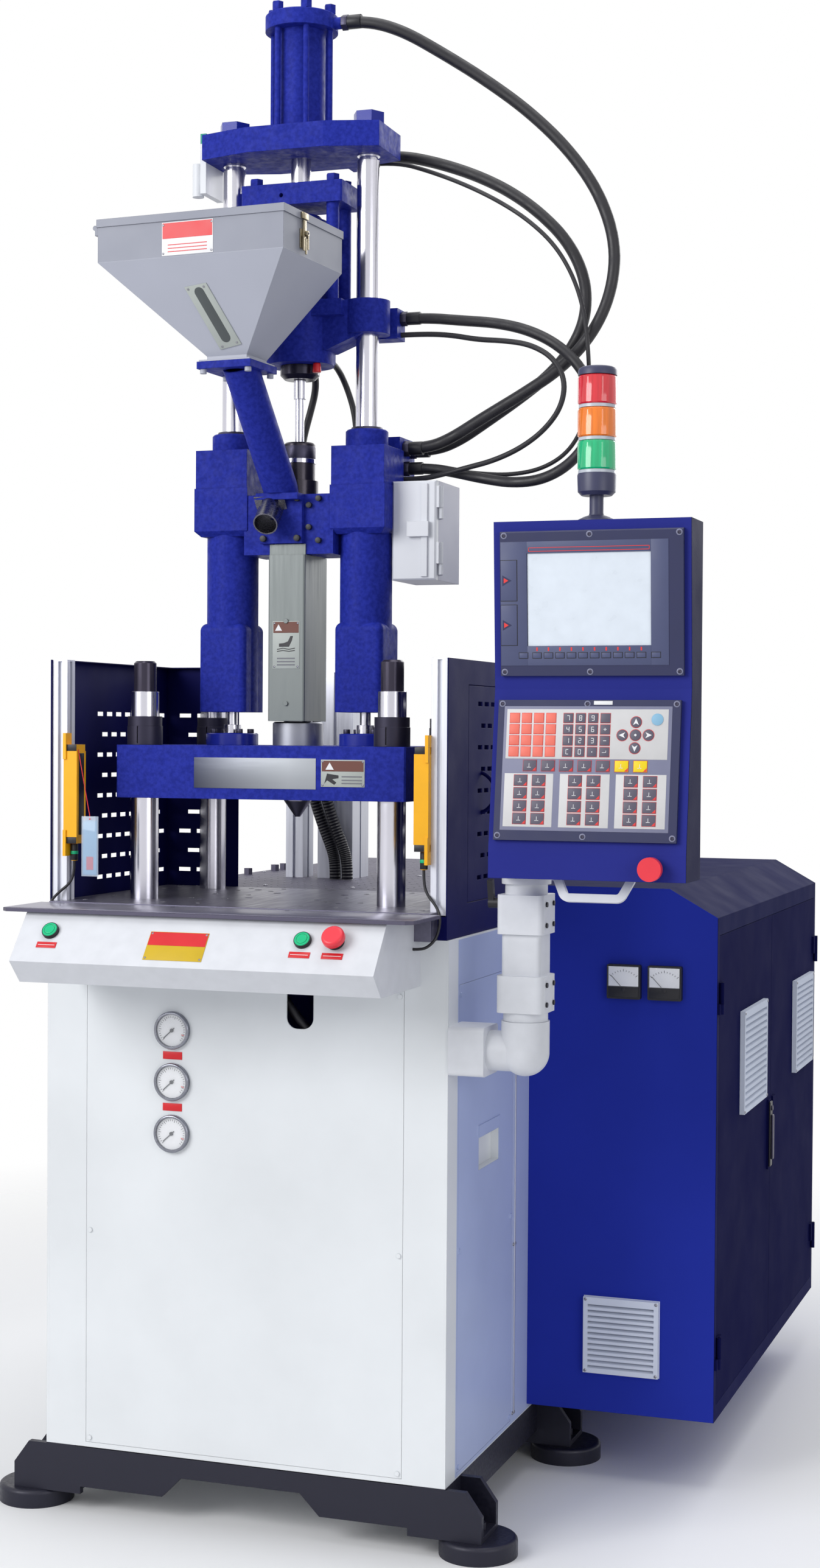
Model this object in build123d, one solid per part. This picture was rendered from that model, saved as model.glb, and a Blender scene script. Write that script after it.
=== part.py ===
from build123d import *
import os
from math import cos, pi, radians, sin, tan

# Vertical injection moulding machine, in millimetres, +Z up.
# While it is modelled, X = 0 is the middle of the press, Y = 0 the front of the
# base cabinet and Z = 0 the floor. The last step moves the origin to the middle
# of the footprint.

# Base cabinet and welded base frame
BASE_W = 780.0
BASE_D = 1655.0
BASE_Z0 = 123.0
BASE_TOP = 1083.0
BASE_WALL = 5.0
PANEL_SHEET = 2.5
PANEL_LAP = 12.0
FRAME_PLATE = 12.0
FRAME_REACH = 67.0
FRAME_LOW = 33.0
BEAM_W = 60.0
BEAM_H = 62.0
FOOT_D = 140.0
FOOT_H = 33.0
FOOT_INSET_X = 46.0
FOOT_REAR_GAP = 59.0
FOOT_Y = (49.0, 633.0, BASE_D - FOOT_REAR_GAP)
FOOT_BRACKET = 98.0
STUD_D = 16.0

# Table bed, apron and rear deck
BED_W = 738.0
BED_FRONT = -36.0
BED_BACK = 470.0
BED_H = 49.0
APRON_W = 772.0
APRON_FRONT = -187.0
APRON_T = 6.0
DECK_H = 47.0
DECK_SHEET = 3.0
FIX_HOLE_D = 16.0
FIX_PITCH = 140.0

# Console below the apron
CONSOLE_W = 676.0
CONSOLE_TOP = 1124.0
CONSOLE_SHEET = 3.0
CONSOLE_LOW = 1002.0
CONSOLE_EDGE = 1042.0
CONSOLE_FRONT = -240.0
CONSOLE_CHIN = -202.0
CONSOLE_BACK = -175.0
BUTTON_HOLE_D = 22.4
BUTTON_TRAVEL = 4.0
COLLAR_D = 29.0
MUSHROOM_D = 40.0

# Clamp: platen, tie bars and the plate that the ram pulls
AXIS_Y = 262.0
PLATEN_W = 570.0
PLATEN_D = 392.0
PLATEN_H = 98.0
DAYLIGHT = 189.0
CLAMP_STROKE = 200.0
TIE_X = 245.0
TIE_Y = 156.0
TIE_D = 52.0
TIE_THREAD_D = 42.0
TIE_FIT = 0.05
NUT_RING_D = 66.0
CROSS_PLATE_W = 600.0
CROSS_PLATE_H = 60.0
CROSS_PLATE_Z = 400.0
CYL_D = 200.0
CYL_BORE = 150.0
RAM_D = 120.0
PISTON_H = 60.0
PISTON_REST = 23.0
CYL_HEAD_H = 40.0

# Injection unit
COLUMN_X = 136.0
COLUMN_D = 43.0
BLOCK_IN = 85.0
BLOCK_OUT = 190.0
BLOCK_D = 108.0
BLOCK_TOP = 1977.0
BLOCK_Z = 1814.0
COLLAR_H = 33.0
COLLAR_RING_D = 80.0
SLEEVE_D = 98.0
LEG_TOP = 1650.0
LEG_BOTTOM = 1482.0
BRIDGE_Z = 1777.0
BRIDGE_TOP = 1889.0
SEAT_STROKE = 150.0
SEAT_ROD_D = 21.0
SEAT_BORE = 63.0
SEAT_PISTON_Z = 1800.0
SEAT_PISTON_H = 30.0
SEAT_CUSHION = 90.0
SEAT_FLANGE_D = 100.0
SEAT_FLANGE_H = 23.0
BARREL_D = 54.0
SCREW_D = 28.0
SCREW_FIT = 0.1
SCREW_BORE_LOW = 1345.0
TIP_CLEARANCE = 5.0
NOZZLE_TIP = 1284.0
NOZZLE_D = 52.0
GUIDE_RING_D = 96.0
COVER_W = 74.0
COVER_FRONT = 200.0
COVER_Z0 = 1465.0
COVER_TOP = 1776.0
THROAT_H = 92.0
REAR_NUT_D = 59.0
REAR_SEAT_H = 30.0
REAR_NUT_H = 72.0

# Crosshead, push plate and top plate
INJ_STROKE = 110.0
CROSSHEAD_GAP = 68.0
MOTOR_BOSS_DROP = 52.0
PUSH_RISE = 243.0
TOP_RISE = 93.0
BOSS_D = 84.0
BOSS_Z = BLOCK_TOP + COLLAR_H + INJ_STROKE + CROSSHEAD_GAP
BOSS_H = 63.0
MOTOR_BOSS_D = 130.0
MOTOR_BOSS_Z = BOSS_Z - MOTOR_BOSS_DROP
PUSH_W = 202.0
PUSH_D = 100.0
PUSH_Z = BOSS_Z + PUSH_RISE
PUSH_H = 40.0
SPACER_D = 24.0
TOP_Z = PUSH_Z + TOP_RISE
TOP_H = 47.0
TOP_HALF = 178.0
TOP_FRONT_HALF = 78.0
TOP_D = 174.0
TOP_END_D = 118.0
INJ_CYL_D = 90.0
INJ_BORE = 75.0
INJ_CYL_H = 191.0
CAP_D = 137.0
CAP_H = 30.0
PISTON_ROD_D = 38.0
TIE_ROD_PCD = 114.0
TIE_ROD_D = 11.0

# Hopper and feed chute
HOPPER_X = -70.0
HOPPER_Y = 50.0
HOPPER_W = 370.0
HOPPER_D = 244.0
HOPPER_TURN = -3.6
HOPPER_SHEET = 2.0
HOPPER_TOP = 2359.0
HOPPER_CREASE = 2284.0
HOPPER_BOTTOM = 2121.0
MOUTH_X = -43.0
MOUTH_Y = 63.0
MOUTH = 80.0
FLANGE = 108.0
FLANGE_T = 13.0
CHUTE_D = 65.0
CHUTE_BORE = 57.0
LID_T = 12.0

# Guards
POST = 30.0
POST_TOP = 1575.0
POST_Y0 = 4.0
POST_SEAT = 6.0
GUARD_X = 386.0
GUARD_BACK = 505.0
GUARD_T = 2.0
SLOT_W = 26.0
SLOT_H = 8.0
SLOT_PITCH = 39.3
DOOR_Y0 = 116.0
DOOR_Z0 = 1141.0
DOOR_Z1 = 1531.0

# Electrical cabinet at the right
ECAB_W = 370.0
ECAB_FRONT = 508.0
ECAB_Z0 = 134.0
ECAB_TOP = 1150.0
ECAB_EAVE = 1097.0
ECAB_SLOPE = 94.0
ECAB_WALL = 4.0
VENT_X = (505.0, 653.0)
VENT_Z = (210.0, 357.0)
VENT_OUT = 10.0
VENT_RIM = 9.0
VENT_SLATS = 12
DOOR_VENT_Y = ((738.0, 990.0), (1349.0, 1583.0))
DOOR_VENT_Z = (688.0, 894.0)
DOOR_VENT_OUT = 10.0
DOOR_VENT_SLATS = 14

# Control panel on its arm
ARM_X = 518.0
ARM_Y = 40.0
ARM_TUBE = 70.0
PANEL_X0 = 486.0
PANEL_X1 = 826.0
PANEL_TOP = 1801.0
PANEL_BOTTOM = 1200.0
PANEL_BACK = 25.0
TOWER_X = 651.0
TOWER_Y = -12.0
TOWER_D = 66.0

# Pin hinges of the doors and lids
HINGE_D = 9.0
HINGE_PIN = 5.0
HINGE_H = 40.0
HINGE_LEAF = 26.0
HINGE_FOOT = 14.0

# Fits
RUNNING = 0.05
CLEAR = 0.3

nodes = {}
hoses = set()


def keep(name, *solids):
    """Adds solids to a named piece."""
    nodes.setdefault(name, []).extend(solids)


def block(x0, x1, y0, y1, z0, z1):
    """Box between two corners."""
    return Pos((x0 + x1) / 2, (y0 + y1) / 2, (z0 + z1) / 2) * Box(x1 - x0, y1 - y0, z1 - z0)


def rod(x, y, z0, z1, d):
    """Upright round bar."""
    return Pos(x, y, (z0 + z1) / 2) * Cylinder(d / 2, z1 - z0)


def bar_y(x, z, y0, y1, d):
    """Round bar along Y."""
    return Pos(x, (y0 + y1) / 2, z) * Rot(90, 0, 0) * Cylinder(d / 2, y1 - y0)


def bar_x(y, z, x0, x1, d):
    """Round bar along X."""
    return Pos((x0 + x1) / 2, y, z) * Rot(0, 90, 0) * Cylinder(d / 2, x1 - x0)


def rim(body, direction):
    """The round edge farthest along a direction."""
    return max(body.edges().filter_by(GeomType.CIRCLE), key=lambda e: e.arc_center.dot(direction))


def hexagon(x, y, z0, z1, across):
    """Upright hexagonal nut or bar."""
    face = RegularPolygon(across / 2, 6, major_radius=False)
    return Pos(x, y, z0) * extrude(face, z1 - z0)


def profile_x(points, x0, x1):
    """Outline in the YZ plane, extruded along X."""
    face = make_face(Polyline(*[(x0, y, z) for y, z in points], close=True))
    return extrude(face, x1 - x0, dir=(1, 0, 0))


def profile_y(points, y0, y1):
    """Outline in the XZ plane, extruded along Y."""
    face = make_face(Polyline(*[(x, y0, z) for x, z in points], close=True))
    return extrude(face, y1 - y0, dir=(0, 1, 0))


def profile_z(points, z0, z1):
    """Outline in the XY plane, extruded along Z."""
    face = make_face(Polyline(*[(x, y, z0) for x, y in points], close=True))
    return extrude(face, z1 - z0, dir=(0, 0, 1))


def cut(body, *tools):
    """Takes each tool away from a body."""
    for tool in tools:
        body = body - tool
    return body


def join(body, *others):
    """Fuses the others to a body."""
    for other in others:
        body = body + other
    return body


def inset(points, sheet):
    """The inner outline of a folded sheet whose outer one runs clockwise."""
    inner = []
    for i, point in enumerate(points):
        before = Vector(*point) - Vector(*points[i - 1])
        after = Vector(*points[(i + 1) % len(points)]) - Vector(*point)
        n0 = Vector(before.Y, -before.X).normalized()
        n1 = Vector(after.Y, -after.X).normalized()
        shift = (n0 + n1) * (sheet / (1 + n0.dot(n1)))
        inner.append((point[0] + shift.X, point[1] + shift.Y))
    return inner


def louvre(z0, z1, count, outer, inner):
    """Outlines of a louvre's slots, each rising from its outer face to its inner one."""
    pitch = (z1 - z0 - 2 * VENT_RIM) / count
    slots = []
    for i in range(count):
        z = z0 + VENT_RIM + pitch * i
        slots.append([(outer, z), (inner, z + pitch / 2), (inner, z + pitch * 0.9), (outer, z + pitch / 2)])
    return slots


def hinge(x, y, z, face_x, door_side, leaf=HINGE_LEAF):
    """A pin hinge on a face: its turning knuckle and the fixed one that holds the pin."""
    half = HINGE_H / 2
    low = z - half - CLEAR
    turning = join(rod(x, y, z - half, z + half, HINGE_D),
                   block(face_x, x, *sorted((y, y + door_side * leaf)), z - half, z + half))
    turning -= rod(x, y, z - half - 1, z + half + 1, HINGE_PIN + 2 * RUNNING)
    fixed = join(rod(x, y, low - half, low, HINGE_D),
                 block(face_x, x, *sorted((y, y - door_side * HINGE_FOOT)), low - half, low),
                 rod(x, y, low - half / 2, z + half - 1, HINGE_PIN))
    return turning, fixed


# Derived places
half_w = BASE_W / 2
bed_top = BASE_TOP + BED_H
platen_z0 = bed_top + DAYLIGHT
platen_top = platen_z0 + PLATEN_H
tie_places = [(sx * TIE_X, AXIS_Y + sy * TIE_Y) for sx in (-1, 1) for sy in (-1, 1)]
foot_x = half_w + FOOT_INSET_X
top_plate_top = TOP_Z + TOP_H
post_in = GUARD_X - GUARD_T - POST
cylinder_roof = BASE_TOP - 30
ram_top = cylinder_roof - PISTON_REST - CLAMP_STROKE - PISTON_H


# Base frame: a notched front plate, side beams and foot brackets
def frame_plate(y):
    tip = half_w + FRAME_REACH
    shoulder = tip - 30
    low = FRAME_LOW
    right = [
        (116, low + 52), (154, low + 14), (320, low + 14), (320, low), (tip, low),
        (tip, low + 47), (shoulder, BASE_Z0 - 2),
    ]
    left = [(-x, z) for x, z in reversed(right)]
    return profile_y(right + left, y, y + FRAME_PLATE)


def foot_bracket(side, y):
    """Two shaped cheeks and the plate that stands on the foot."""
    tip = half_w + FRAME_REACH
    inner = half_w - BEAM_W
    y0 = y - FOOT_BRACKET / 2
    y1 = y + FOOT_BRACKET / 2
    cheek = [
        (inner, FRAME_LOW), (tip, FRAME_LOW), (tip, FRAME_LOW + 47),
        (tip - 30, BASE_Z0 - 2), (inner, BASE_Z0 - 2),
    ]
    cheek = [(side * x, z) for x, z in cheek]
    sole = block(min(side * inner, side * tip), max(side * inner, side * tip), y0, y1,
                 FRAME_LOW, FRAME_LOW + 10)
    front = profile_y(cheek, y0, y0 + FRAME_PLATE)
    back = profile_y(cheek, y1 - FRAME_PLATE, y1)
    bracket = join(sole, front, back)
    return cut(bracket, rod(side * foot_x, y, FRAME_LOW - 1, FRAME_LOW + 11, STUD_D + 1))


frame = frame_plate(0)
frame = join(frame, block(-half_w, half_w, BASE_D - FRAME_PLATE, BASE_D, BASE_Z0 - BEAM_H, BASE_Z0))
for side in (-1, 1):
    outer = side * half_w
    inner = side * (half_w - BEAM_W)
    beam = block(min(outer, inner), max(outer, inner), 0, BASE_D, BASE_Z0 - BEAM_H, BASE_Z0)
    frame = join(frame, beam)
    for y in FOOT_Y:
        frame = join(frame, foot_bracket(side, y))
for y in FOOT_Y[1:]:
    frame = join(frame, block(-half_w, half_w, y - 30, y + 30, BASE_Z0 - BEAM_H, BASE_Z0))
keep("base_frame", frame)

for side in (-1, 1):
    for y in FOOT_Y:
        x = side * foot_x
        disc = fillet(rod(x, y, 0, FOOT_H, FOOT_D).edges().group_by(Axis.Z)[-1], 8)
        disc = join(disc, rod(x, y, FOOT_H, FRAME_LOW + 34, STUD_D))
        disc = join(disc, hexagon(x, y, FRAME_LOW + 10.0, FRAME_LOW + 23, 24))
        keep("leveling_feet", disc)

# Base cabinet: one sheet housing, open above, with lapped openings for its panels
FRONT_PANEL = (-309.0, 309.0, 132.0, 1000.0)
SIDE_PANEL = (62.0, 398.0, 132.0, 1000.0)
SLOT_X = (87.0, 138.0)
SLOT_Z = 916.0
PULL = (180.0, 310.0, 648.0, 732.0)

wall_z = BASE_Z0 + BASE_WALL
in_w = half_w - BASE_WALL
cabinet_floor = block(-half_w, half_w, 0, BASE_D, BASE_Z0, wall_z)
left_wall = block(-half_w, -in_w, 0, BASE_D, wall_z, BASE_TOP)
right_wall = block(in_w, half_w, 0, BASE_D, wall_z, BASE_TOP)
back_wall = block(-in_w, in_w, BASE_D - BASE_WALL, BASE_D, wall_z, BASE_TOP)
front_wall = block(-in_w, in_w, 0, BASE_WALL, wall_z, BASE_TOP)
x0, x1, z0, z1 = FRONT_PANEL
front_wall -= block(x0, x1, -1, PANEL_SHEET, z0, z1)
front_wall -= block(x0 + PANEL_LAP, x1 - PANEL_LAP, -1, BASE_WALL + 1, z0 + PANEL_LAP, z1 - PANEL_LAP)
y0, y1, z0, z1 = SIDE_PANEL
right_wall -= block(half_w - PANEL_SHEET, half_w + 1, y0, y1, z0, z1)
right_wall -= block(in_w - 1, half_w + 1, y0 + PANEL_LAP, y1 - PANEL_LAP, z0 + PANEL_LAP, z1 - PANEL_LAP)
keep("base_cabinet", cabinet_floor, left_wall, right_wall, back_wall, front_wall)

GAUGE_X = -136.0
GAUGE_Z = (902.0, 808.0, 714.0)
GAUGE_D = 69.0
GAUGE_CASE_D = 60.0

x0, x1, z0, z1 = FRONT_PANEL
front_panel = block(x0 + 0.5, x1 - 0.5, 0, PANEL_SHEET, z0 + 0.5, z1 - 0.5)
slot = block(SLOT_X[0], SLOT_X[1], -1, PANEL_SHEET + 1, SLOT_Z, z1 + 1)
slot = fillet(slot.edges().filter_by(Axis.Y).group_by(Axis.Z)[0], 20)
front_panel -= slot
for z in GAUGE_Z:
    front_panel -= bar_y(GAUGE_X, z, -1, PANEL_SHEET + 1, GAUGE_CASE_D + 2 * CLEAR)
screw_z = (z0 + 9, (z0 + z1) / 2 - 40, z1 - 18)
for x in (x0 + 8, x1 - 8):
    for z in screw_z:
        keep("access_panels", bar_y(x, z, -2.5, 0, 9))
y0, y1, z0, z1 = SIDE_PANEL
side_panel = block(half_w - PANEL_SHEET, half_w, y0 + 0.5, y1 - 0.5, z0 + 0.5, z1 - 0.5)
pull = block(half_w - 15, half_w + 1, *PULL)
side_panel -= pull
recess = block(half_w - 17, half_w, PULL[0], PULL[1], PULL[2], PULL[3])
recess -= block(half_w - 15.5, half_w + 1, PULL[0] + 2, PULL[1] - 2, PULL[2] + 2, PULL[3] - 2)
recess = join(recess, block(half_w - 3, half_w + 2, PULL[0], PULL[1], PULL[3] - 22, PULL[3]))
keep("access_panels", front_panel, side_panel, recess)
for y in (y0 + 9, y1 - 9):
    for z in screw_z:
        keep("access_panels", bar_x(y, z, half_w, half_w + 2.5, 9))

# Pressure gauges in the front panel
for z in GAUGE_Z:
    case = bar_y(GAUGE_X, z, 0, 34, GAUGE_CASE_D)
    bezel = bar_y(GAUGE_X, z, -9, 0, GAUGE_D)
    bezel = fillet(bezel.edges().group_by(Axis.Y)[0], 3)
    gauge = join(case, bezel, bar_y(GAUGE_X, z, 34, 52, 14))
    gauge -= bar_y(GAUGE_X, z, -10, -3, GAUGE_D - 10)
    keep("pressure_gauges", gauge)

# Table bed with tie bar bores, the ram bore is in the cylinder below it
bed = block(-BED_W / 2, BED_W / 2, BED_FRONT, BED_BACK, BASE_TOP, bed_top)
for x, y in tie_places:
    bed -= rod(x, y, BASE_TOP - 1, bed_top + 1, TIE_D + 2 * TIE_FIT)
for side in (-1, 1):
    pocket = sorted((side * (post_in - CLEAR), side * (half_w + 1)))
    bed -= block(*pocket, POST_Y0 - CLEAR, POST_Y0 + POST + CLEAR, bed_top - POST_SEAT, bed_top + 1)
fix_places = [(sx * FIX_PITCH / 2, AXIS_Y + sy * FIX_PITCH / 2) for sx in (-1, 1) for sy in (-1, 1)]
fix_places += [(sx * FIX_PITCH, AXIS_Y + sy * FIX_PITCH) for sx in (-1, 1) for sy in (-1, 1)]
for x, y in fix_places:
    bed -= rod(x, y, bed_top - 30, bed_top + 1, FIX_HOLE_D)
keep("table_bed", bed)

apron = block(-APRON_W / 2, APRON_W / 2, APRON_FRONT, BED_FRONT, CONSOLE_TOP, CONSOLE_TOP + APRON_T)
apron = chamfer(apron.edges().filter_by(Axis.Z).group_by(Axis.Y)[0], 12)
deck_top = BASE_TOP + DECK_H
deck = block(-half_w, half_w, BED_BACK, BASE_D, BASE_TOP, deck_top)
deck -= block(-half_w + DECK_SHEET, half_w - DECK_SHEET, BED_BACK + DECK_SHEET, BASE_D - DECK_SHEET,
              BASE_TOP - 1, deck_top - DECK_SHEET)
keep("deck_plates", apron, deck)
REAR_BOLT_X = -half_w + 22
for y in (885.0, 1039.0, 1092.0):
    keep("deck_plates", hexagon(REAR_BOLT_X, y, deck_top, deck_top + 14, 17))

# Console: a folded sheet box with slanted front, holes for the buttons
console_section = [(CONSOLE_BACK, CONSOLE_TOP), (BED_FRONT, CONSOLE_TOP), (BED_FRONT, BASE_TOP),
                   (0, BASE_TOP), (0, CONSOLE_LOW), (CONSOLE_CHIN, CONSOLE_LOW),
                   (CONSOLE_FRONT, CONSOLE_EDGE)]
console_inner = inset(console_section, CONSOLE_SHEET)
strips = []
for i in range(len(console_section)):
    j = (i + 1) % len(console_section)
    fold = [console_section[i], console_section[j], console_inner[j], console_inner[i]]
    strips.append(profile_x(fold, -CONSOLE_W / 2, CONSOLE_W / 2))
slanted_sheet = strips.pop()
for end in (-CONSOLE_W / 2, CONSOLE_W / 2 - CONSOLE_SHEET):
    strips.append(profile_x(console_inner, end, end + CONSOLE_SHEET))
FACE_TOP = Vector(0, CONSOLE_BACK, CONSOLE_TOP)
FACE_LOW = Vector(0, CONSOLE_FRONT, CONSOLE_EDGE)
face_up = (FACE_TOP - FACE_LOW).normalized()
face_out = Vector(0, -face_up.Z, face_up.Y)


def on_face(x, along):
    """A place on the console's slanted face, measured up from its lower edge."""
    return FACE_LOW + face_up * along + Vector(x, 0, 0)


def on_axis(place, out0, out1, d, direction):
    """Round bar along a direction, between two distances from a place."""
    plane = Plane(origin=place + direction * out0, z_dir=direction)
    return extrude(plane * Circle(d / 2), out1 - out0)


BUTTON_ALONG = 64.0
START_END_GAP = 61.0
STOP_END_GAP = 81.5
START_STOP_PITCH = 59.0
stop_x = CONSOLE_W / 2 - STOP_END_GAP
buttons = {"start_button_left": START_END_GAP - CONSOLE_W / 2,
           "start_button_right": stop_x - START_STOP_PITCH, "console_stop": stop_x}
for name, x in buttons.items():
    place = on_face(x, BUTTON_ALONG)
    slanted_sheet -= on_axis(place, -8, 3, BUTTON_HOLE_D, face_out)
    collar = on_axis(place, 0, 7, COLLAR_D, face_out)
    collar = join(collar, on_axis(place, -40, 0, BUTTON_HOLE_D - 0.4, face_out))
    bore = 10.0 if name == "console_stop" else 19.0
    collar -= on_axis(place, -14, 8, bore, face_out)
    keep("console", collar)
    if name == "console_stop":
        cap = on_axis(place, 7 + BUTTON_TRAVEL + 0.5, 24, MUSHROOM_D, face_out)
        cap = fillet(rim(cap, face_out), 6)
        cap = join(cap, on_axis(place, -8, 8 + BUTTON_TRAVEL, bore - 2 * RUNNING, face_out))
        keep(name, cap)
    else:
        cap = on_axis(place, -8, 9, bore - 2 * RUNNING, face_out)
        cap = fillet(rim(cap, face_out), 1.5)
        keep(name, cap)
keep("console", slanted_sheet, *strips)

# Clamp: platen, tie bars, nuts, lower plate and ram, all in one moving body
PLATEN_BORE = 58.0
platen = block(-PLATEN_W / 2, PLATEN_W / 2, AXIS_Y - PLATEN_D / 2, AXIS_Y + PLATEN_D / 2,
               platen_z0, platen_top)
platen = chamfer(platen.edges().filter_by(Axis.Z), 3)
platen -= rod(0, AXIS_Y, platen_z0 - 1, platen_top + 1, PLATEN_BORE)
for x, y in tie_places:
    platen -= rod(x, y, platen_z0 - 1, platen_top + 1, TIE_D)
for x, y in fix_places[:4]:
    platen -= rod(x, y, platen_z0 - 1, platen_z0 + 30, FIX_HOLE_D)
keep("platen", platen)

NUT_LOW_H = 35.0
NUT_RING_H = 18.0
for x, y in tie_places:
    top = platen_top + 99
    bar = rod(x, y, CROSS_PLATE_Z - 40, top, TIE_D)
    thread = rod(x, y, top, top + 57, TIE_THREAD_D)
    thread = chamfer(thread.edges().group_by(Axis.Z)[-1], 4)
    keep("tie_bars", join(bar, thread))
    for z0, z1, d in (
        (platen_top, platen_top + NUT_LOW_H, NUT_RING_D),
        (platen_top + NUT_LOW_H, platen_top + NUT_LOW_H + NUT_RING_H, NUT_RING_D - 2),
        (CROSS_PLATE_Z - 30, CROSS_PLATE_Z, NUT_RING_D + 10),
    ):
        ring = rod(x, y, z0, z1, d) - rod(x, y, z0 - 1, z1 + 1, TIE_D)
        if z0 == platen_top:
            ring -= block(x - 1, x + 1, y - d, y - TIE_D / 2 + 1, z0 + 3, z1 + 1)
        keep("platen_collars", ring)
guide_ring_top = COVER_Z0 - 1
guide_ring = rod(0, AXIS_Y, platen_top, guide_ring_top, GUIDE_RING_D)
guide_ring = chamfer(guide_ring.edges().group_by(Axis.Z)[-1], 3)
guide_ring -= rod(0, AXIS_Y, platen_top - 1, guide_ring_top + 1, PLATEN_BORE)
keep("platen_collars", guide_ring)

cross_top = CROSS_PLATE_Z + CROSS_PLATE_H
cross_plate = block(-CROSS_PLATE_W / 2, CROSS_PLATE_W / 2, AXIS_Y - PLATEN_D / 2,
                    AXIS_Y + PLATEN_D / 2, CROSS_PLATE_Z, cross_top)
cross_plate = chamfer(cross_plate.edges().filter_by(Axis.Z), 40)
for x, y in tie_places:
    cross_plate -= rod(x, y, CROSS_PLATE_Z - 1, cross_top + 1, TIE_D)
keep("clamp_crosshead", cross_plate)

HOSE_PORT_X = 19.0
HOSE_PORT_Y = 150.0
HOSE_PORT_Z = 1030.0
ram = join(rod(0, AXIS_Y, cross_top, ram_top, RAM_D),
           rod(0, AXIS_Y, ram_top, ram_top + PISTON_H, CYL_BORE - 2 * RUNNING))
cylinder_low = ram_top - CYL_HEAD_H - 10
keep("clamp_crosshead", ram)
cylinder = join(rod(0, AXIS_Y, cylinder_low, BASE_TOP, CYL_D),
                block(-150, 150, AXIS_Y - 130, AXIS_Y + 130, cylinder_roof, BASE_TOP))
cylinder -= rod(0, AXIS_Y, cylinder_low + CYL_HEAD_H, cylinder_roof, CYL_BORE)
cylinder -= rod(0, AXIS_Y, cylinder_low - 1, cylinder_low + CYL_HEAD_H + 1, RAM_D + 2 * RUNNING)
cylinder = join(cylinder, bar_y(HOSE_PORT_X, HOSE_PORT_Z, HOSE_PORT_Y, AXIS_Y - CYL_D / 2 + 12, 34))
keep("hydraulic_unit", cylinder)

# Hydraulic unit on the cabinet floor: tank, motor and pump
TANK_FRONT = 900.0
TANK_REAR_GAP = 155.0
PUMP_FRONT = 860.0
MOTOR_FRONT = 1000.0
tank_floor = BASE_Z0 + BASE_WALL
tank_back = BASE_D - TANK_REAR_GAP
motor_back = MOTOR_FRONT + 0.55 * (tank_back - TANK_FRONT)
tank = block(-300, 300, TANK_FRONT, tank_back, tank_floor, tank_floor + 330)
tank = fillet(tank.edges().filter_by(Axis.Z), 25)
motor = fillet(bar_y(-90, tank_floor + 450, MOTOR_FRONT, motor_back, 230).edges(), 12)
motor = join(motor, block(-190, 10, MOTOR_FRONT + 40, motor_back - 40, tank_floor + 330, tank_floor + 370))
pump = join(bar_y(-90, tank_floor + 450, PUMP_FRONT, MOTOR_FRONT, 120),
            bar_y(-90, tank_floor + 450, MOTOR_FRONT - 15, MOTOR_FRONT, 180))
VALVE_Y = TANK_FRONT + 5
valves = block(190, 290, VALVE_Y, VALVE_Y + 150, tank_floor + 330, tank_floor + 520)
keep("hydraulic_unit", tank, motor, pump, valves)

# Seat cylinders' rods, fixed on the platen, with their pistons in the cast frame
for x in (-COLUMN_X, COLUMN_X):
    flange = rod(x, AXIS_Y, platen_top, platen_top + SEAT_FLANGE_H, SEAT_FLANGE_D)
    flange = chamfer(flange.edges().group_by(Axis.Z)[-1], 2)
    nut = rod(x, AXIS_Y, platen_top + SEAT_FLANGE_H, platen_top + SEAT_FLANGE_H + 16, 34)
    shaft = rod(x, AXIS_Y, platen_top + SEAT_FLANGE_H, SEAT_PISTON_Z, SEAT_ROD_D)
    piston = rod(x, AXIS_Y, SEAT_PISTON_Z, SEAT_PISTON_Z + SEAT_PISTON_H, SEAT_BORE - 2 * RUNNING)
    keep("seat_rods", join(flange, nut, shaft, piston))

# Cast injection frame: two column blocks with sleeves and legs, and a bridge
block_y0 = AXIS_Y - BLOCK_D / 2
block_y1 = AXIS_Y + BLOCK_D / 2
SOCKET_DEPTH = 50.0
STEP_Z = 1905.0


def frame_side(side):
    """One side of the casting, from the leg to the collar round the column."""
    x = side * COLUMN_X
    lo, hi = sorted((side * BLOCK_IN, side * BLOCK_OUT))
    upper = block(lo, hi, block_y0, block_y1, STEP_Z, BLOCK_TOP)
    wide = block(lo - 2, hi + 2, block_y0 - 2, block_y1 + 2, BLOCK_Z, STEP_Z)
    wide = chamfer(wide.edges().group_by(Axis.Z)[0], 10)
    leg = block(lo + 5, hi - 5, block_y0 + 4, block_y1 - 4, LEG_BOTTOM, LEG_TOP)
    leg = fillet(leg.edges().filter_by(Axis.Z), 12)
    leg = fillet(leg.edges().group_by(Axis.Z)[-1], 14)
    sleeve = rod(x, AXIS_Y, LEG_BOTTOM, BLOCK_TOP, SLEEVE_D)
    collar = rod(x, AXIS_Y, BLOCK_TOP, BLOCK_TOP + COLLAR_H, COLLAR_RING_D)
    collar = chamfer(collar.edges().group_by(Axis.Z)[-1], 3)
    return join(upper, wide, leg, sleeve, collar)


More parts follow.
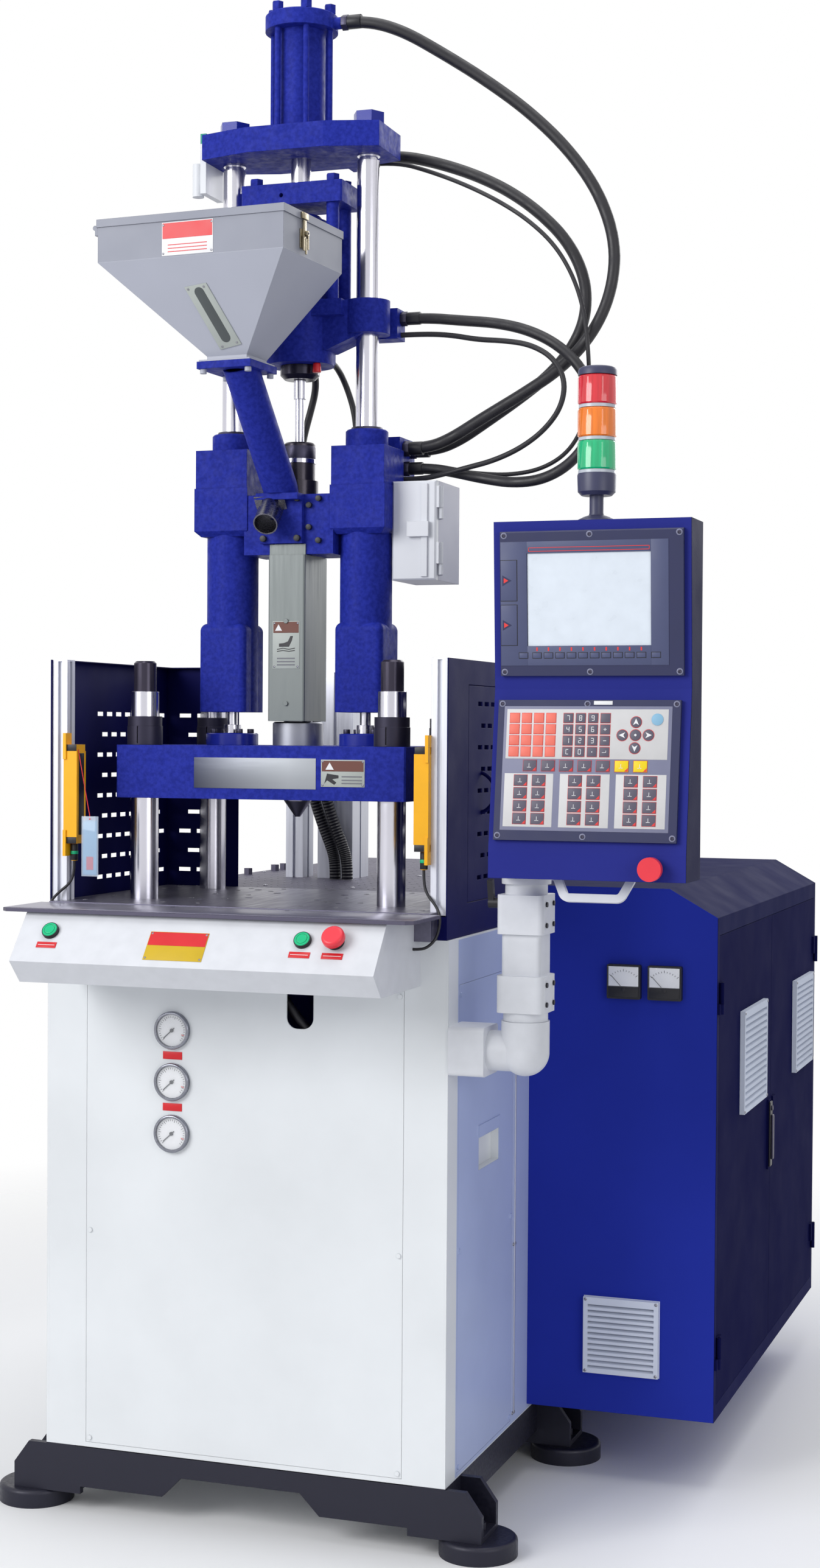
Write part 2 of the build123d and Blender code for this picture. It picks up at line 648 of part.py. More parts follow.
PORT_X = BLOCK_OUT - 8
CROSS_PORT_Y = 342.0
MOTOR_PORT_Y = 335.0
collar_top = BLOCK_TOP + COLLAR_H
socket_z = collar_top - SOCKET_DEPTH
seat_bore_low = SEAT_PISTON_Z - SEAT_STROKE - SEAT_CUSHION
bridge = block(-BLOCK_IN - 5, BLOCK_IN + 5, block_y0, block_y1, BRIDGE_Z, BRIDGE_TOP)
casting = join(frame_side(-1), frame_side(1), bridge)
for x in (-COLUMN_X, COLUMN_X):
    casting -= rod(x, AXIS_Y, LEG_BOTTOM - 1, seat_bore_low + 1, SEAT_ROD_D + 2 * RUNNING)
    casting -= rod(x, AXIS_Y, seat_bore_low, socket_z, SEAT_BORE)
    casting -= rod(x, AXIS_Y, socket_z - 1, collar_top + 1, COLUMN_D)
casting -= rod(0, AXIS_Y, BRIDGE_Z - 1, BRIDGE_TOP + 1, BARREL_D)
MANIFOLD_BACK = block_y1 + 86
RAIL_Z = 1815.0
RAIL_TOP = 1845.0
casting = join(casting, block(BLOCK_OUT - 78, PORT_X, block_y1, MANIFOLD_BACK, 1860, 2004),
               block(-75, 75, block_y1, MANIFOLD_BACK, RAIL_Z, RAIL_TOP))
FEED_BORE = 34.0
casting -= on_axis(Vector(-14, 198, 1905), -10, 75, FEED_BORE, Vector(0.16, 0.72, -0.68).normalized())
keep("injection_frame", casting)

column_top = top_plate_top + 24
for x in (-COLUMN_X, COLUMN_X):
    column = rod(x, AXIS_Y, socket_z, column_top, COLUMN_D)
    neck = rod(x, AXIS_Y, TOP_Z - 12, TOP_Z - 4, COLUMN_D + 4) - rod(
        x, AXIS_Y, TOP_Z - 13, TOP_Z - 3, COLUMN_D - 8)
    column -= neck
    nut = hexagon(x, AXIS_Y, top_plate_top, top_plate_top + 30, 52) - rod(
        x, AXIS_Y, top_plate_top - 1, column_top, COLUMN_D)
    keep("guide_columns", column, nut)

# Barrel, nozzle, rear nut, heater bands and cover
barrel_top = BRIDGE_TOP + REAR_SEAT_H
rear_nut_top = barrel_top + REAR_NUT_H
screw_bore = SCREW_D + 2 * SCREW_FIT
barrel = rod(0, AXIS_Y, 1330, barrel_top, BARREL_D)
barrel -= rod(0, AXIS_Y, SCREW_BORE_LOW, barrel_top + 1, screw_bore)
barrel -= rod(0, AXIS_Y, 1329, SCREW_BORE_LOW + 1, 10)
rear_nut = rod(0, AXIS_Y, barrel_top, rear_nut_top, REAR_NUT_D)
rear_nut = chamfer(rear_nut.edges().group_by(Axis.Z)[-1], 3)
rear_nut -= rod(0, AXIS_Y, barrel_top - 1, rear_nut_top + 1, screw_bore)
rear_seat = rod(0, AXIS_Y, BRIDGE_TOP, barrel_top, REAR_NUT_D + 12)
rear_seat -= rod(0, AXIS_Y, BRIDGE_TOP - 1, barrel_top + 1, BARREL_D)
nozzle_profile = Polyline(
    (0, NOZZLE_TIP), (5, NOZZLE_TIP), (NOZZLE_D / 2, 1314), (NOZZLE_D / 2, 1330), (0, 1330), close=True)
nozzle = revolve(Plane.XZ * make_face(nozzle_profile), Axis.Z)
nozzle = Pos(0, AXIS_Y, 0) * nozzle
nozzle -= rod(0, AXIS_Y, NOZZLE_TIP - 1, 1331, 4)
keep("barrel", barrel, nozzle, rear_nut, rear_seat)
BAND_D = 63.0
for z in (1480.0, 1545.0, 1610.0, 1675.0):
    band = rod(0, AXIS_Y, z, z + 50, BAND_D) - rod(0, AXIS_Y, z - 1, z + 51, BARREL_D)
    band -= block(BARREL_D / 2 - 4, BAND_D, AXIS_Y - 1, AXIS_Y + 1, z - 1, z + 51)
    keep("barrel", band)
cover = block(-COVER_W / 2, COVER_W / 2, COVER_FRONT, AXIS_Y + 50, COVER_Z0, COVER_TOP)
cover = fillet(cover.edges().filter_by(Axis.Z).group_by(Axis.Y)[0], 4)
cover -= block(-COVER_W / 2 + 1.5, COVER_W / 2 - 1.5, COVER_FRONT + 1.5, AXIS_Y + 51,
               COVER_Z0 - 1, COVER_TOP + 1)
cover = join(cover, block(-COVER_W / 2 + 1, COVER_W / 2 - 1, block_y0 - 3, block_y0,
                          COVER_TOP - 1, BRIDGE_TOP - THROAT_H - 1))
keep("barrel_cover", cover)
for z in (1498.0, 1652.0):
    keep("barrel_cover", bar_y(0, z, COVER_FRONT - 3, COVER_FRONT, 9))

# Feed chute from the hopper down to the throat, with its two flanges
chute_top = Vector(MOUTH_X + 10, MOUTH_Y, HOPPER_BOTTOM - 10 - FLANGE_T)
chute_low = Vector(-14, 196, BRIDGE_TOP + 18)
chute_dir = (chute_low - chute_top).normalized()
chute_len = (chute_low - chute_top).length
TUBE_LEAD = 14.0
BORE_LEAD = 45.0
tube_plane = Plane(origin=chute_top - chute_dir * TUBE_LEAD, z_dir=chute_dir)
bore_plane = Plane(origin=chute_top - chute_dir * BORE_LEAD, z_dir=chute_dir)
foot_z = BRIDGE_TOP
foot = block(-52, 32, block_y0 - 34, block_y0, foot_z - 12, foot_z)
foot = join(foot, block(-52, 32, block_y0 - 12, block_y0, foot_z - THROAT_H, foot_z))
outer_tube = extrude(tube_plane * Circle(CHUTE_D / 2), chute_len + 60)
outer_tube -= block(-200, 200, -100, 400, foot_z - 300, foot_z)
outer_tube -= block(-200, 200, block_y0, 500, foot_z - 1, foot_z + 300)
plate = Pos(MOUTH_X, MOUTH_Y, chute_top.Z + FLANGE_T / 2) * Rot(0, 0, HOPPER_TURN) * Box(
    FLANGE, FLANGE, FLANGE_T)
outer_tube -= block(-400, 400, -400, 400, chute_top.Z + FLANGE_T, chute_top.Z + 200)
chute = join(outer_tube, plate, foot)
chute -= extrude(bore_plane * Circle(CHUTE_BORE / 2), chute_len - 2 - TUBE_LEAD + BORE_LEAD)
chute -= on_axis(Vector(-14, 196, 1907), -20, 75, FEED_BORE, Vector(0.16, 0.72, -0.68).normalized())
keep("feed_chute", chute)


def about_hopper(x, y, z):
    """A place in the hopper's own turned frame."""
    a = radians(HOPPER_TURN)
    return (HOPPER_X + x * cos(a) - y * sin(a), HOPPER_Y + x * sin(a) + y * cos(a), z)


def hopper_face(z, w, d, cx=0.0, cy=0.0):
    """A rectangle across the hopper at a height."""
    place = about_hopper(cx, cy, z)
    return Pos(*place) * Rot(0, 0, HOPPER_TURN) * Rectangle(w, d)


# Sheet hopper: a straight rim above a tapered funnel
mouth_dx = (MOUTH_X - HOPPER_X)
mouth_dy = (MOUTH_Y - HOPPER_Y)
t = HOPPER_SHEET
HOPPER_NECK = 10.0
NECK_SHEET = 3.0


def four_walls(z0, low, z1, high, sheet):
    """Four flat sheets between two levels, each level given as width, depth and centre."""
    walls = []
    for side in (-1, 1):
        across = []
        along = []
        for z, (w, d, cx, cy) in ((z0, low), (z1, high)):
            across.append(hopper_face(z, w, sheet, cx, cy + side * (d - sheet) / 2))
            along.append(hopper_face(z, sheet, d - 2 * sheet, cx + side * (w - sheet) / 2, cy))
        walls.append(loft(across))
        walls.append(loft(along))
    return walls


neck_z = HOPPER_BOTTOM - HOPPER_NECK
mouth_at = (MOUTH, MOUTH, mouth_dx, mouth_dy)
rim_at = (HOPPER_W, HOPPER_D, 0.0, 0.0)
foot_at = (MOUTH + 22, MOUTH + 22, mouth_dx, mouth_dy)
keep("hopper", *four_walls(neck_z + NECK_SHEET, mouth_at, HOPPER_BOTTOM, mouth_at, t),
     *four_walls(HOPPER_BOTTOM, mouth_at, HOPPER_CREASE, rim_at, t),
     *four_walls(HOPPER_CREASE, rim_at, HOPPER_TOP, rim_at, t),
     *four_walls(neck_z, foot_at, neck_z + NECK_SHEET, foot_at, 11 + t))
for sx in (-1, 1):
    for sy in (-1, 1):
        a = radians(HOPPER_TURN)
        bx = MOUTH_X + sx * 45 * cos(a) - sy * 45 * sin(a)
        by = MOUTH_Y + sx * 45 * sin(a) + sy * 45 * cos(a)
        keep("hopper", rod(bx, by, chute_top.Z - 8, chute_top.Z, 12))

# Hopper lid: a shallow cap over the rim, on two pin hinges along its left edge
lid_gap = 0.6
LID_HINGE_Y = 80.0
lid_w = HOPPER_W + 2 * lid_gap + 3
lid_d = HOPPER_D + 2 * lid_gap + 3
lid = extrude(hopper_face(HOPPER_TOP - LID_T, lid_w, lid_d), LID_T + lid_gap + 1.5)
lid -= extrude(hopper_face(HOPPER_TOP - LID_T - 1, HOPPER_W + 2 * lid_gap, HOPPER_D + 2 * lid_gap),
               LID_T + lid_gap + 1)
lid_hinge_x = -lid_w / 2 - HINGE_D / 2 - CLEAR
lid_hinge_z = HOPPER_TOP - LID_T
in_hopper = Pos(HOPPER_X, HOPPER_Y, 0) * Rot(0, 0, HOPPER_TURN)
for y in (-LID_HINGE_Y, LID_HINGE_Y):
    half = HINGE_H / 2
    low = y - half - CLEAR
    knuckle = join(bar_y(lid_hinge_x, lid_hinge_z, y - half, y + half, HINGE_D),
                   block(lid_hinge_x, -lid_w / 2, y - half, y + half, lid_hinge_z + 1, lid_hinge_z + 10))
    knuckle -= bar_y(lid_hinge_x, lid_hinge_z, y - half - 1, y + half + 1, HINGE_PIN + 2 * RUNNING)
    lid = join(lid, in_hopper * knuckle)
    holder = join(bar_y(lid_hinge_x, lid_hinge_z, low - half, low, HINGE_D),
                  block(lid_hinge_x, -HOPPER_W / 2, low - half, low, lid_hinge_z - HINGE_FOOT,
                        lid_hinge_z - CLEAR),
                  bar_y(lid_hinge_x, lid_hinge_z, low - half / 2, y + half - 1, HINGE_PIN))
    keep("hopper", in_hopper * holder)
keep("hopper_lid", lid)

# Crosshead on the columns: a casting with bosses, a motor boss and a curved web
boss_top = BOSS_Z + BOSS_H
RIB_D = 62.0
web = profile_y([(-COLUMN_X, BOSS_Z), (-MOTOR_BOSS_D / 2, MOTOR_BOSS_Z + 24),
                 (MOTOR_BOSS_D / 2, MOTOR_BOSS_Z + 24), (COLUMN_X, BOSS_Z),
                 (COLUMN_X, boss_top), (-COLUMN_X, boss_top)],
                AXIS_Y - RIB_D / 2, AXIS_Y + RIB_D / 2)
crosshead = join(web, rod(0, AXIS_Y, MOTOR_BOSS_Z, boss_top, MOTOR_BOSS_D),
                 rod(-COLUMN_X, AXIS_Y, BOSS_Z, boss_top, BOSS_D),
                 rod(COLUMN_X, AXIS_Y, BOSS_Z, boss_top, BOSS_D),
                 block(-PUSH_W / 2, PUSH_W / 2, AXIS_Y - PUSH_D / 2, AXIS_Y + PUSH_D / 2,
                       boss_top - 30, boss_top),
                 block(COLUMN_X - 26, PORT_X, AXIS_Y + 36, CROSS_PORT_Y, BOSS_Z - 2, boss_top - 8),
                 block(-44, 44, AXIS_Y + 40, MOTOR_PORT_Y, BOSS_Z - 40, BOSS_Z + 8))
for x in (-COLUMN_X, COLUMN_X):
    crosshead -= rod(x, AXIS_Y, MOTOR_BOSS_Z - 1, boss_top + 1, COLUMN_D + 2 * RUNNING)
SHAFT_D = 23.0
DARK_RING_D = 74.0
crosshead -= rod(0, AXIS_Y, MOTOR_BOSS_Z - 1, boss_top + 1, SHAFT_D + 12)
keep("crosshead", crosshead)

motor_top = PUSH_Z - 24
screw_motor = join(rod(0, AXIS_Y, boss_top, boss_top + 18, 124), rod(0, AXIS_Y, boss_top, motor_top, 104))
screw_motor = join(screw_motor, rod(0, AXIS_Y, motor_top, motor_top + 10, 80),
                   bar_x(AXIS_Y, motor_top - 40, 40, 78, 30))
screw_motor = chamfer(screw_motor.edges().group_by(Axis.Z)[-1], 3)
keep("screw_motor", screw_motor)

push_plate = block(-PUSH_W / 2, PUSH_W / 2, AXIS_Y - PUSH_D / 2, AXIS_Y + PUSH_D / 2,
                   PUSH_Z, PUSH_Z + PUSH_H)
push_plate = chamfer(push_plate.edges().filter_by(Axis.Z), 3)
for sx in (-1, 1):
    for sy in (-1, 1):
        x = sx * 77
        y = AXIS_Y + sy * 32
        push_plate = join(push_plate, rod(x, y, boss_top, PUSH_Z, SPACER_D),
                          hexagon(x, y, PUSH_Z + PUSH_H, PUSH_Z + PUSH_H + 14, 22))
push_plate -= bar_y(-20, PUSH_Z + 18, AXIS_Y - PUSH_D / 2 - 1, AXIS_Y - PUSH_D / 2 + 14, 8)
keep("push_plate", push_plate)

# Top plate, injection cylinder, piston and tie rods
end = TOP_END_D / 2
mid = TOP_D / 2
octagon = [(-TOP_HALF, AXIS_Y - end), (-TOP_FRONT_HALF, AXIS_Y - mid), (TOP_FRONT_HALF, AXIS_Y - mid),
           (TOP_HALF, AXIS_Y - end), (TOP_HALF, AXIS_Y + end), (TOP_FRONT_HALF, AXIS_Y + mid),
           (-TOP_FRONT_HALF, AXIS_Y + mid), (-TOP_HALF, AXIS_Y + end)]
top_plate = profile_z(octagon, TOP_Z, top_plate_top)
for x in (-COLUMN_X, COLUMN_X):
    top_plate -= rod(x, AXIS_Y, TOP_Z - 1, top_plate_top + 1, COLUMN_D)
top_plate -= rod(0, AXIS_Y, TOP_Z - 1, top_plate_top + 1, PISTON_ROD_D + 2 * RUNNING)
TOP_PORT_X = 110.0
top_plate = join(top_plate, block(TOP_PORT_X - 50, TOP_PORT_X, AXIS_Y + mid, AXIS_Y + mid + 36,
                                  TOP_Z + 2, TOP_Z + 41))
keep("top_plate", top_plate)

cyl_top = top_plate_top + INJ_CYL_H
inj_cylinder = rod(0, AXIS_Y, top_plate_top, cyl_top, INJ_CYL_D)
inj_cylinder -= rod(0, AXIS_Y, top_plate_top - 1, cyl_top + 1, INJ_BORE)
cap = chamfer(rod(0, AXIS_Y, cyl_top, cyl_top + CAP_H, CAP_D).edges().group_by(Axis.Z)[-1], 2)
cap = join(cap, bar_x(AXIS_Y, cyl_top + 12, 50, CAP_D / 2 + 14, 22))
keep("injection_cylinder", inj_cylinder, cap)
PISTON_LEN = 34.0
piston_z = cyl_top - 16 - PISTON_LEN
piston = join(rod(0, AXIS_Y, PUSH_Z + PUSH_H, piston_z + PISTON_LEN, PISTON_ROD_D),
              rod(0, AXIS_Y, piston_z, piston_z + PISTON_LEN, INJ_BORE - 2 * RUNNING))
keep("piston_rod", piston)
for i in range(6):
    a = 2 * pi * i / 6
    x = TIE_ROD_PCD / 2 * cos(a)
    y = AXIS_Y + TIE_ROD_PCD / 2 * sin(a)
    keep("cylinder_tie_rods", rod(x, y, top_plate_top, cyl_top, TIE_ROD_D))
    keep("cylinder_tie_rods", hexagon(x, y, cyl_top + CAP_H, cyl_top + CAP_H + 17, 19))

# Screw with its coupling ring below the motor boss; it turns and strokes
screw_tip = SCREW_BORE_LOW + TIP_CLEARANCE + INJ_STROKE
ring = rod(0, AXIS_Y, MOTOR_BOSS_Z - 26, MOTOR_BOSS_Z - CLEAR, DARK_RING_D)
ring = chamfer(ring.edges().group_by(Axis.Z)[0], 8)
tip = Pos(0, AXIS_Y, screw_tip + 12) * Cone(2, SCREW_D / 2 - 3, 24)
screw = join(ring, rod(0, AXIS_Y, MOTOR_BOSS_Z - 26, boss_top - 2, SHAFT_D),
             rod(0, AXIS_Y, MOTOR_BOSS_Z - 62, MOTOR_BOSS_Z - 26, SHAFT_D),
             rod(0, AXIS_Y, 1940, MOTOR_BOSS_Z - 62, 17),
             rod(0, AXIS_Y, screw_tip + 24, 1940, SCREW_D), tip)
keep("screw", screw)

# Junction box with its hinged lid, at the right of the casting
JBOX = (BLOCK_OUT + 2, 278.0, 262.0, 388.0, 1728.0, 1912.0)
BOX_LEAF = 11.0
jx0, jx1, jy0, jy1, jz0, jz1 = JBOX
jbox = block(*JBOX) - block(jx0 + 3, jx1 - 3, jy0 - 1, jy1 - 3, jz0 + 3, jz1 - 3)
keep("junction_box", jbox, block(jx0 + 10, jx1 - 10, jy1 - 40, jy1 - 3, jz0 + 30, jz1 - 30))
jlid = block(jx0, jx1, jy0 - 14, jy0 - CLEAR, jz0, jz1)
jlid = chamfer(jlid.edges().group_by(Axis.Y)[0], 3)
jlid = join(jlid, block(jx1 - 28, jx1 - 16, jy0 - 18, jy0 - 13, jz0 + 6, jz1 - 6),
            block(jx0 + 32, jx1 - 12, jy0 - 24, jy0 - 17, 1808, 1836))
for z in (jz0 + 50, jz1 - 30):
    turning, fixed = hinge(jx1 + HINGE_D / 2 + CLEAR, jy0 - CLEAR / 2, z, jx1, -1, BOX_LEAF)
    jlid = join(jlid, turning)
    keep("junction_box", fixed)
keep("junction_box_lid", jlid)

# Position transducer on its bracket at the left of the top plate
bracket = block(-TOP_HALF - 12, -TOP_HALF, AXIS_Y - 40, AXIS_Y + 40, TOP_Z - 58, top_plate_top + 8)
transducer = join(rod(-TOP_HALF - 25, AXIS_Y - 20, TOP_Z - 60, TOP_Z + 2, 22),
                  block(-TOP_HALF - 25, -TOP_HALF - 12, AXIS_Y - 28, AXIS_Y - 12, TOP_Z - 40, TOP_Z - 18))
keep("position_transducer", bracket, transducer)

# Drain spout on the front of the throat
spout_at = Vector(-27, block_y0 - 16, foot_z - 24)
spout_dir = Vector(0.1, -0.77, -0.62).normalized()
spout_plane = Plane(origin=spout_at, x_dir=(1, 0, 0), z_dir=spout_dir)
spout = join(on_axis(spout_at, -30, 58, 46, spout_dir), spout_plane * Box(58, 50, 5))
spout -= on_axis(spout_at, 10, 63, 41, spout_dir)
spout -= block(-100, 60, block_y0 - 12, 400, 1700, 2000)
spout -= block(-100, 60, block_y0 - 34, 400, foot_z - 12, 2000)
keep("drain_spout", spout)

# Profile posts at the front, and the rear posts that carry the conduits
def profile_post(x0, x1, y0, y1, z0, z1):
    """Aluminium extrusion with a groove in each face."""
    post = block(x0, x1, y0, y1, z0, z1)
    mx = (x0 + x1) / 2
    my = (y0 + y1) / 2
    for groove in (block(mx - 4, mx + 4, y0 - 1, y0 + 6, z0 - 1, z1 + 1),
                   block(mx - 4, mx + 4, y1 - 6, y1 + 1, z0 - 1, z1 + 1),
                   block(x0 - 1, x0 + 6, my - 4, my + 4, z0 - 1, z1 + 1),
                   block(x1 - 6, x1 + 1, my - 4, my + 4, z0 - 1, z1 + 1)):
        post -= groove
    return post


for side in (-1, 1):
    lo, hi = sorted((side * post_in, side * (GUARD_X - GUARD_T)))
    keep("profile_posts", profile_post(lo, hi, POST_Y0, POST_Y0 + POST, bed_top - POST_SEAT, POST_TOP - 3))
    keep("profile_posts", block(lo, hi, POST_Y0, POST_Y0 + POST, POST_TOP - 3, POST_TOP))
keep("profile_posts", profile_post(-259, -219, 838, 898, deck_top, POST_TOP))
keep("profile_posts", profile_post(-185, -105, 838, 938, deck_top, POST_TOP))
keep("profile_posts", block(-259, -105, 848, 888, POST_TOP, POST_TOP + 30))


# Perforated guards: folded sheets at both sides of the mould space
def slots_along_y(x, y0, y1, z0, rows):
    """Rows of slots through a sheet that stands along Y, each row offset by half a pitch."""
    tools = []
    for row in range(rows):
        y = y0 + (SLOT_PITCH / 2 if row % 2 else 0)
        while y < y1:
            tools.append(Pos(x, y, z0 + row * SLOT_PITCH) * Box(12, SLOT_W, SLOT_H))
            y += SLOT_PITCH
    return tools


def slots_along_x(y, x0, x1, z0, rows):
    """The same for a sheet that stands along X."""
    tools = []
    for row in range(rows):
        x = x0 + (SLOT_PITCH / 2 if row % 2 else 0)
        while x < x1:
            tools.append(Pos(x, y, z0 + row * SLOT_PITCH) * Box(SLOT_W, 12, SLOT_H))
            x += SLOT_PITCH
    return tools


SLOT_Z0 = 1163.0
under_deck = block(-half_w, half_w, BED_BACK, BASE_D, BASE_TOP - 1, deck_top)
guard_y0 = POST_Y0 + POST
left_guard = block(-GUARD_X, -GUARD_X + GUARD_T, 0, GUARD_BACK, BASE_TOP, POST_TOP)
left_guard = join(left_guard,
                  block(-GUARD_X, -227, GUARD_BACK - GUARD_T, GUARD_BACK, deck_top, POST_TOP),
                  block(-GUARD_X, -GUARD_X + 16, guard_y0, GUARD_BACK, POST_TOP - GUARD_T, POST_TOP),
                  block(-GUARD_X, -227, GUARD_BACK - 16, GUARD_BACK, POST_TOP - GUARD_T, POST_TOP),
                  block(-GUARD_X, -BED_W / 2, 0, GUARD_T, BASE_TOP, CONSOLE_TOP))
left_guard = cut(left_guard, *slots_along_y(-GUARD_X, 199, 480, SLOT_Z0, 9))
left_guard = cut(left_guard, *slots_along_x(GUARD_BACK, -346, -250, SLOT_Z0, 9))
left_guard -= under_deck
keep("perforated_guards", left_guard)

DOOR_GAP = 1.5
door_y1 = GUARD_BACK - 20
right_guard = block(GUARD_X - GUARD_T, GUARD_X, 0, GUARD_BACK, BASE_TOP, POST_TOP)
right_guard -= block(GUARD_X - 10, GUARD_X + 10, DOOR_Y0, door_y1, DOOR_Z0, DOOR_Z1)
right_guard = join(right_guard,
                   block(GUARD_X - 16, GUARD_X, guard_y0, GUARD_BACK, POST_TOP - GUARD_T, POST_TOP),
                   block(227, GUARD_X, GUARD_BACK - GUARD_T, GUARD_BACK, deck_top, POST_TOP),
                   block(227, GUARD_X, GUARD_BACK - 16, GUARD_BACK, POST_TOP - GUARD_T, POST_TOP),
                   block(BED_W / 2, GUARD_X, 0, GUARD_T, BASE_TOP, CONSOLE_TOP))
right_guard -= under_deck
keep("perforated_guards", right_guard)

HINGE_X = GUARD_X + 5
HINGE_Y = door_y1 + 2
door = block(GUARD_X - GUARD_T, GUARD_X, DOOR_Y0 + DOOR_GAP, door_y1 - DOOR_GAP,
             DOOR_Z0 + DOOR_GAP, DOOR_Z1 - DOOR_GAP)
door = cut(door, *slots_along_y(GUARD_X, DOOR_Y0 + 70, door_y1 - 30, SLOT_Z0 + 20, 9))
handle_z = (1300.0, 1373.0)
handle_y = 196.0
handle_path = ThreePointArc((GUARD_X - 1, handle_y, handle_z[0]), (GUARD_X + 26, handle_y, sum(handle_z) / 2),
                            (GUARD_X - 1, handle_y, handle_z[1]))
handle_start = Plane(origin=handle_path @ 0, z_dir=handle_path % 0)
handle = sweep(handle_start * Circle(3.5), path=handle_path)
for z in (DOOR_Z0 + 60, DOOR_Z1 - 60):
    turning, fixed = hinge(HINGE_X, HINGE_Y, z, GUARD_X, -1)
    door = join(door, turning)
    keep("perforated_guards", fixed)
door = join(door, handle)
keep("guard_door", door)

# Light curtains beside the front posts
CURTAIN = 27.0
for side in (-1, 1):
    face = side * post_in
    lo, hi = sorted((face, face - side * CURTAIN))
    bar = block(lo, hi, -10, 26, 1249, 1407)
    caps = [block(lo + 1, hi - 1, -9, 25, 1237, 1249), block(lo + 1, hi - 1, -9, 25, 1407, 1419)]
    clips = [block(*sorted((face, face - side * 6)), -13, 10, z, z + 48) for z in (1214, 1392)]
    clips = [c - block(lo, hi, -10, 26, 1237, 1419) for c in clips]
    plug = rod((lo + hi) / 2, 8, 1205, 1237, 12)
    keep("light_curtains", join(bar, *caps), *clips, plug)

# Electrical cabinet: a housing with a sloped eave, open at the right for two doors
ex0 = half_w
ex1 = half_w + ECAB_W
ey0 = ECAB_FRONT
ey1 = BASE_D


def ecab_outline(inset):
    return [(ex0 + inset, ECAB_Z0 + inset), (ex1 - inset, ECAB_Z0 + inset), (ex1 - inset, ECAB_EAVE),
            (ex1 - ECAB_SLOPE, ECAB_TOP - inset), (ex0 + inset, ECAB_TOP - inset)]


ecab = profile_y(ecab_outline(0), ey0, ey1)
ecab -= profile_y(ecab_outline(ECAB_WALL), ey0 + ECAB_WALL, ey1 - ECAB_WALL)
LEAF_Z0 = ECAB_Z0 + 30
LEAF_Z1 = ECAB_EAVE - 34
LEAF_Y0 = ey0 + 18
LEAF_Y1 = ey1 - 18
ecab -= block(ex1 - 10, ex1 + 1, LEAF_Y0, LEAF_Y1, LEAF_Z0, LEAF_Z1)
ecab -= block(VENT_X[0] + VENT_RIM, VENT_X[1] - VENT_RIM, ey0 - 1, ey0 + ECAB_WALL + 1,
              VENT_Z[0] + VENT_RIM, VENT_Z[1] - VENT_RIM)
vent = block(*VENT_X, ey0 - VENT_OUT, ey0, *VENT_Z)
for slot in louvre(*VENT_Z, VENT_SLATS, ey0 - VENT_OUT - 1, ey0 + 1):
    vent -= profile_x(slot, VENT_X[0] + VENT_RIM, VENT_X[1] - VENT_RIM)
keep("electrical_cabinet", vent)
METER_Z = 970.0
METER_X = (580.0, 660.0)
METER = 66.0
for x in METER_X:
    ecab -= bar_y(x, METER_Z - 4, ey0 - 1, ey0 + ECAB_WALL + 1, 54)
keep("electrical_cabinet", ecab)
for x in METER_X:
    case = block(x - METER / 2, x + METER / 2, ey0 - 12, ey0, METER_Z - METER / 2, METER_Z + METER / 2)
    case = fillet(case.edges().filter_by(Axis.Y), 3)
    keep("panel_meters", join(case, bar_y(x, METER_Z - 4, ey0, ey0 + 40, 52)))
for leaf, y0, y1, vent_y in (("cabinet_door_front", LEAF_Y0, (LEAF_Y0 + LEAF_Y1) / 2, DOOR_VENT_Y[0]),
                             ("cabinet_door_rear", (LEAF_Y0 + LEAF_Y1) / 2, LEAF_Y1, DOOR_VENT_Y[1])):
    sheet = block(ex1 - 2, ex1, y0 + 1, y1 - 1, LEAF_Z0 + 1, LEAF_Z1 - 1)
    fold = block(ex1 - 18, ex1 - 2, y0 + 8, y1 - 8, LEAF_Z0 + 8, LEAF_Z1 - 8)
    fold -= block(ex1 - 19, ex1 - 1, y0 + 10, y1 - 10, LEAF_Z0 + 10, LEAF_Z1 - 10)
    sheet = join(sheet, fold)
    grille = block(ex1, ex1 + DOOR_VENT_OUT, *vent_y, *DOOR_VENT_Z)
    for slot in louvre(*DOOR_VENT_Z, DOOR_VENT_SLATS, ex1 + DOOR_VENT_OUT + 1, ex1 - 1):
        grille -= profile_y(slot, vent_y[0] + VENT_RIM, vent_y[1] - VENT_RIM)
    sheet -= block(ex1 - 3, ex1 + 1, vent_y[0] + VENT_RIM, vent_y[1] - VENT_RIM,
                   DOOR_VENT_Z[0] + VENT_RIM, DOOR_VENT_Z[1] - VENT_RIM)
    keep(leaf, grille)
    side = 1 if leaf.endswith("front") else -1
    hinge_y = y0 if side > 0 else y1
    for z in (LEAF_Z0 + 110, LEAF_Z1 - 110):
        turning, fixed = hinge(ex1 + 5, hinge_y, z, ex1, side)
        sheet = join(sheet, turning)
        keep("electrical_cabinet", fixed)
    sheet = join(sheet, block(ex1, ex1 + 4, *((y1 - 40, y1 - 12) if leaf.endswith("front") else
                                              (y0 + 12, y0 + 40)), 525, 673))
    keep(leaf, sheet)
backing = block(ex0 + ECAB_WALL + 8, ex0 + ECAB_WALL + 12, ey0 + 60, ey1 - 60, ECAB_Z0 + 60, ECAB_EAVE - 60)
backing = join(backing, block(ex0 + ECAB_WALL, ex0 + ECAB_WALL + 8, ey0 + 90, ey0 + 130,
                              ECAB_Z0 + 60, ECAB_EAVE - 60),
               block(ex0 + ECAB_WALL, ex0 + ECAB_WALL + 8, ey1 - 130, ey1 - 90,
                     ECAB_Z0 + 60, ECAB_EAVE - 60))
keep("electrical_panel", backing)
face_x = ex0 + ECAB_WALL + 12
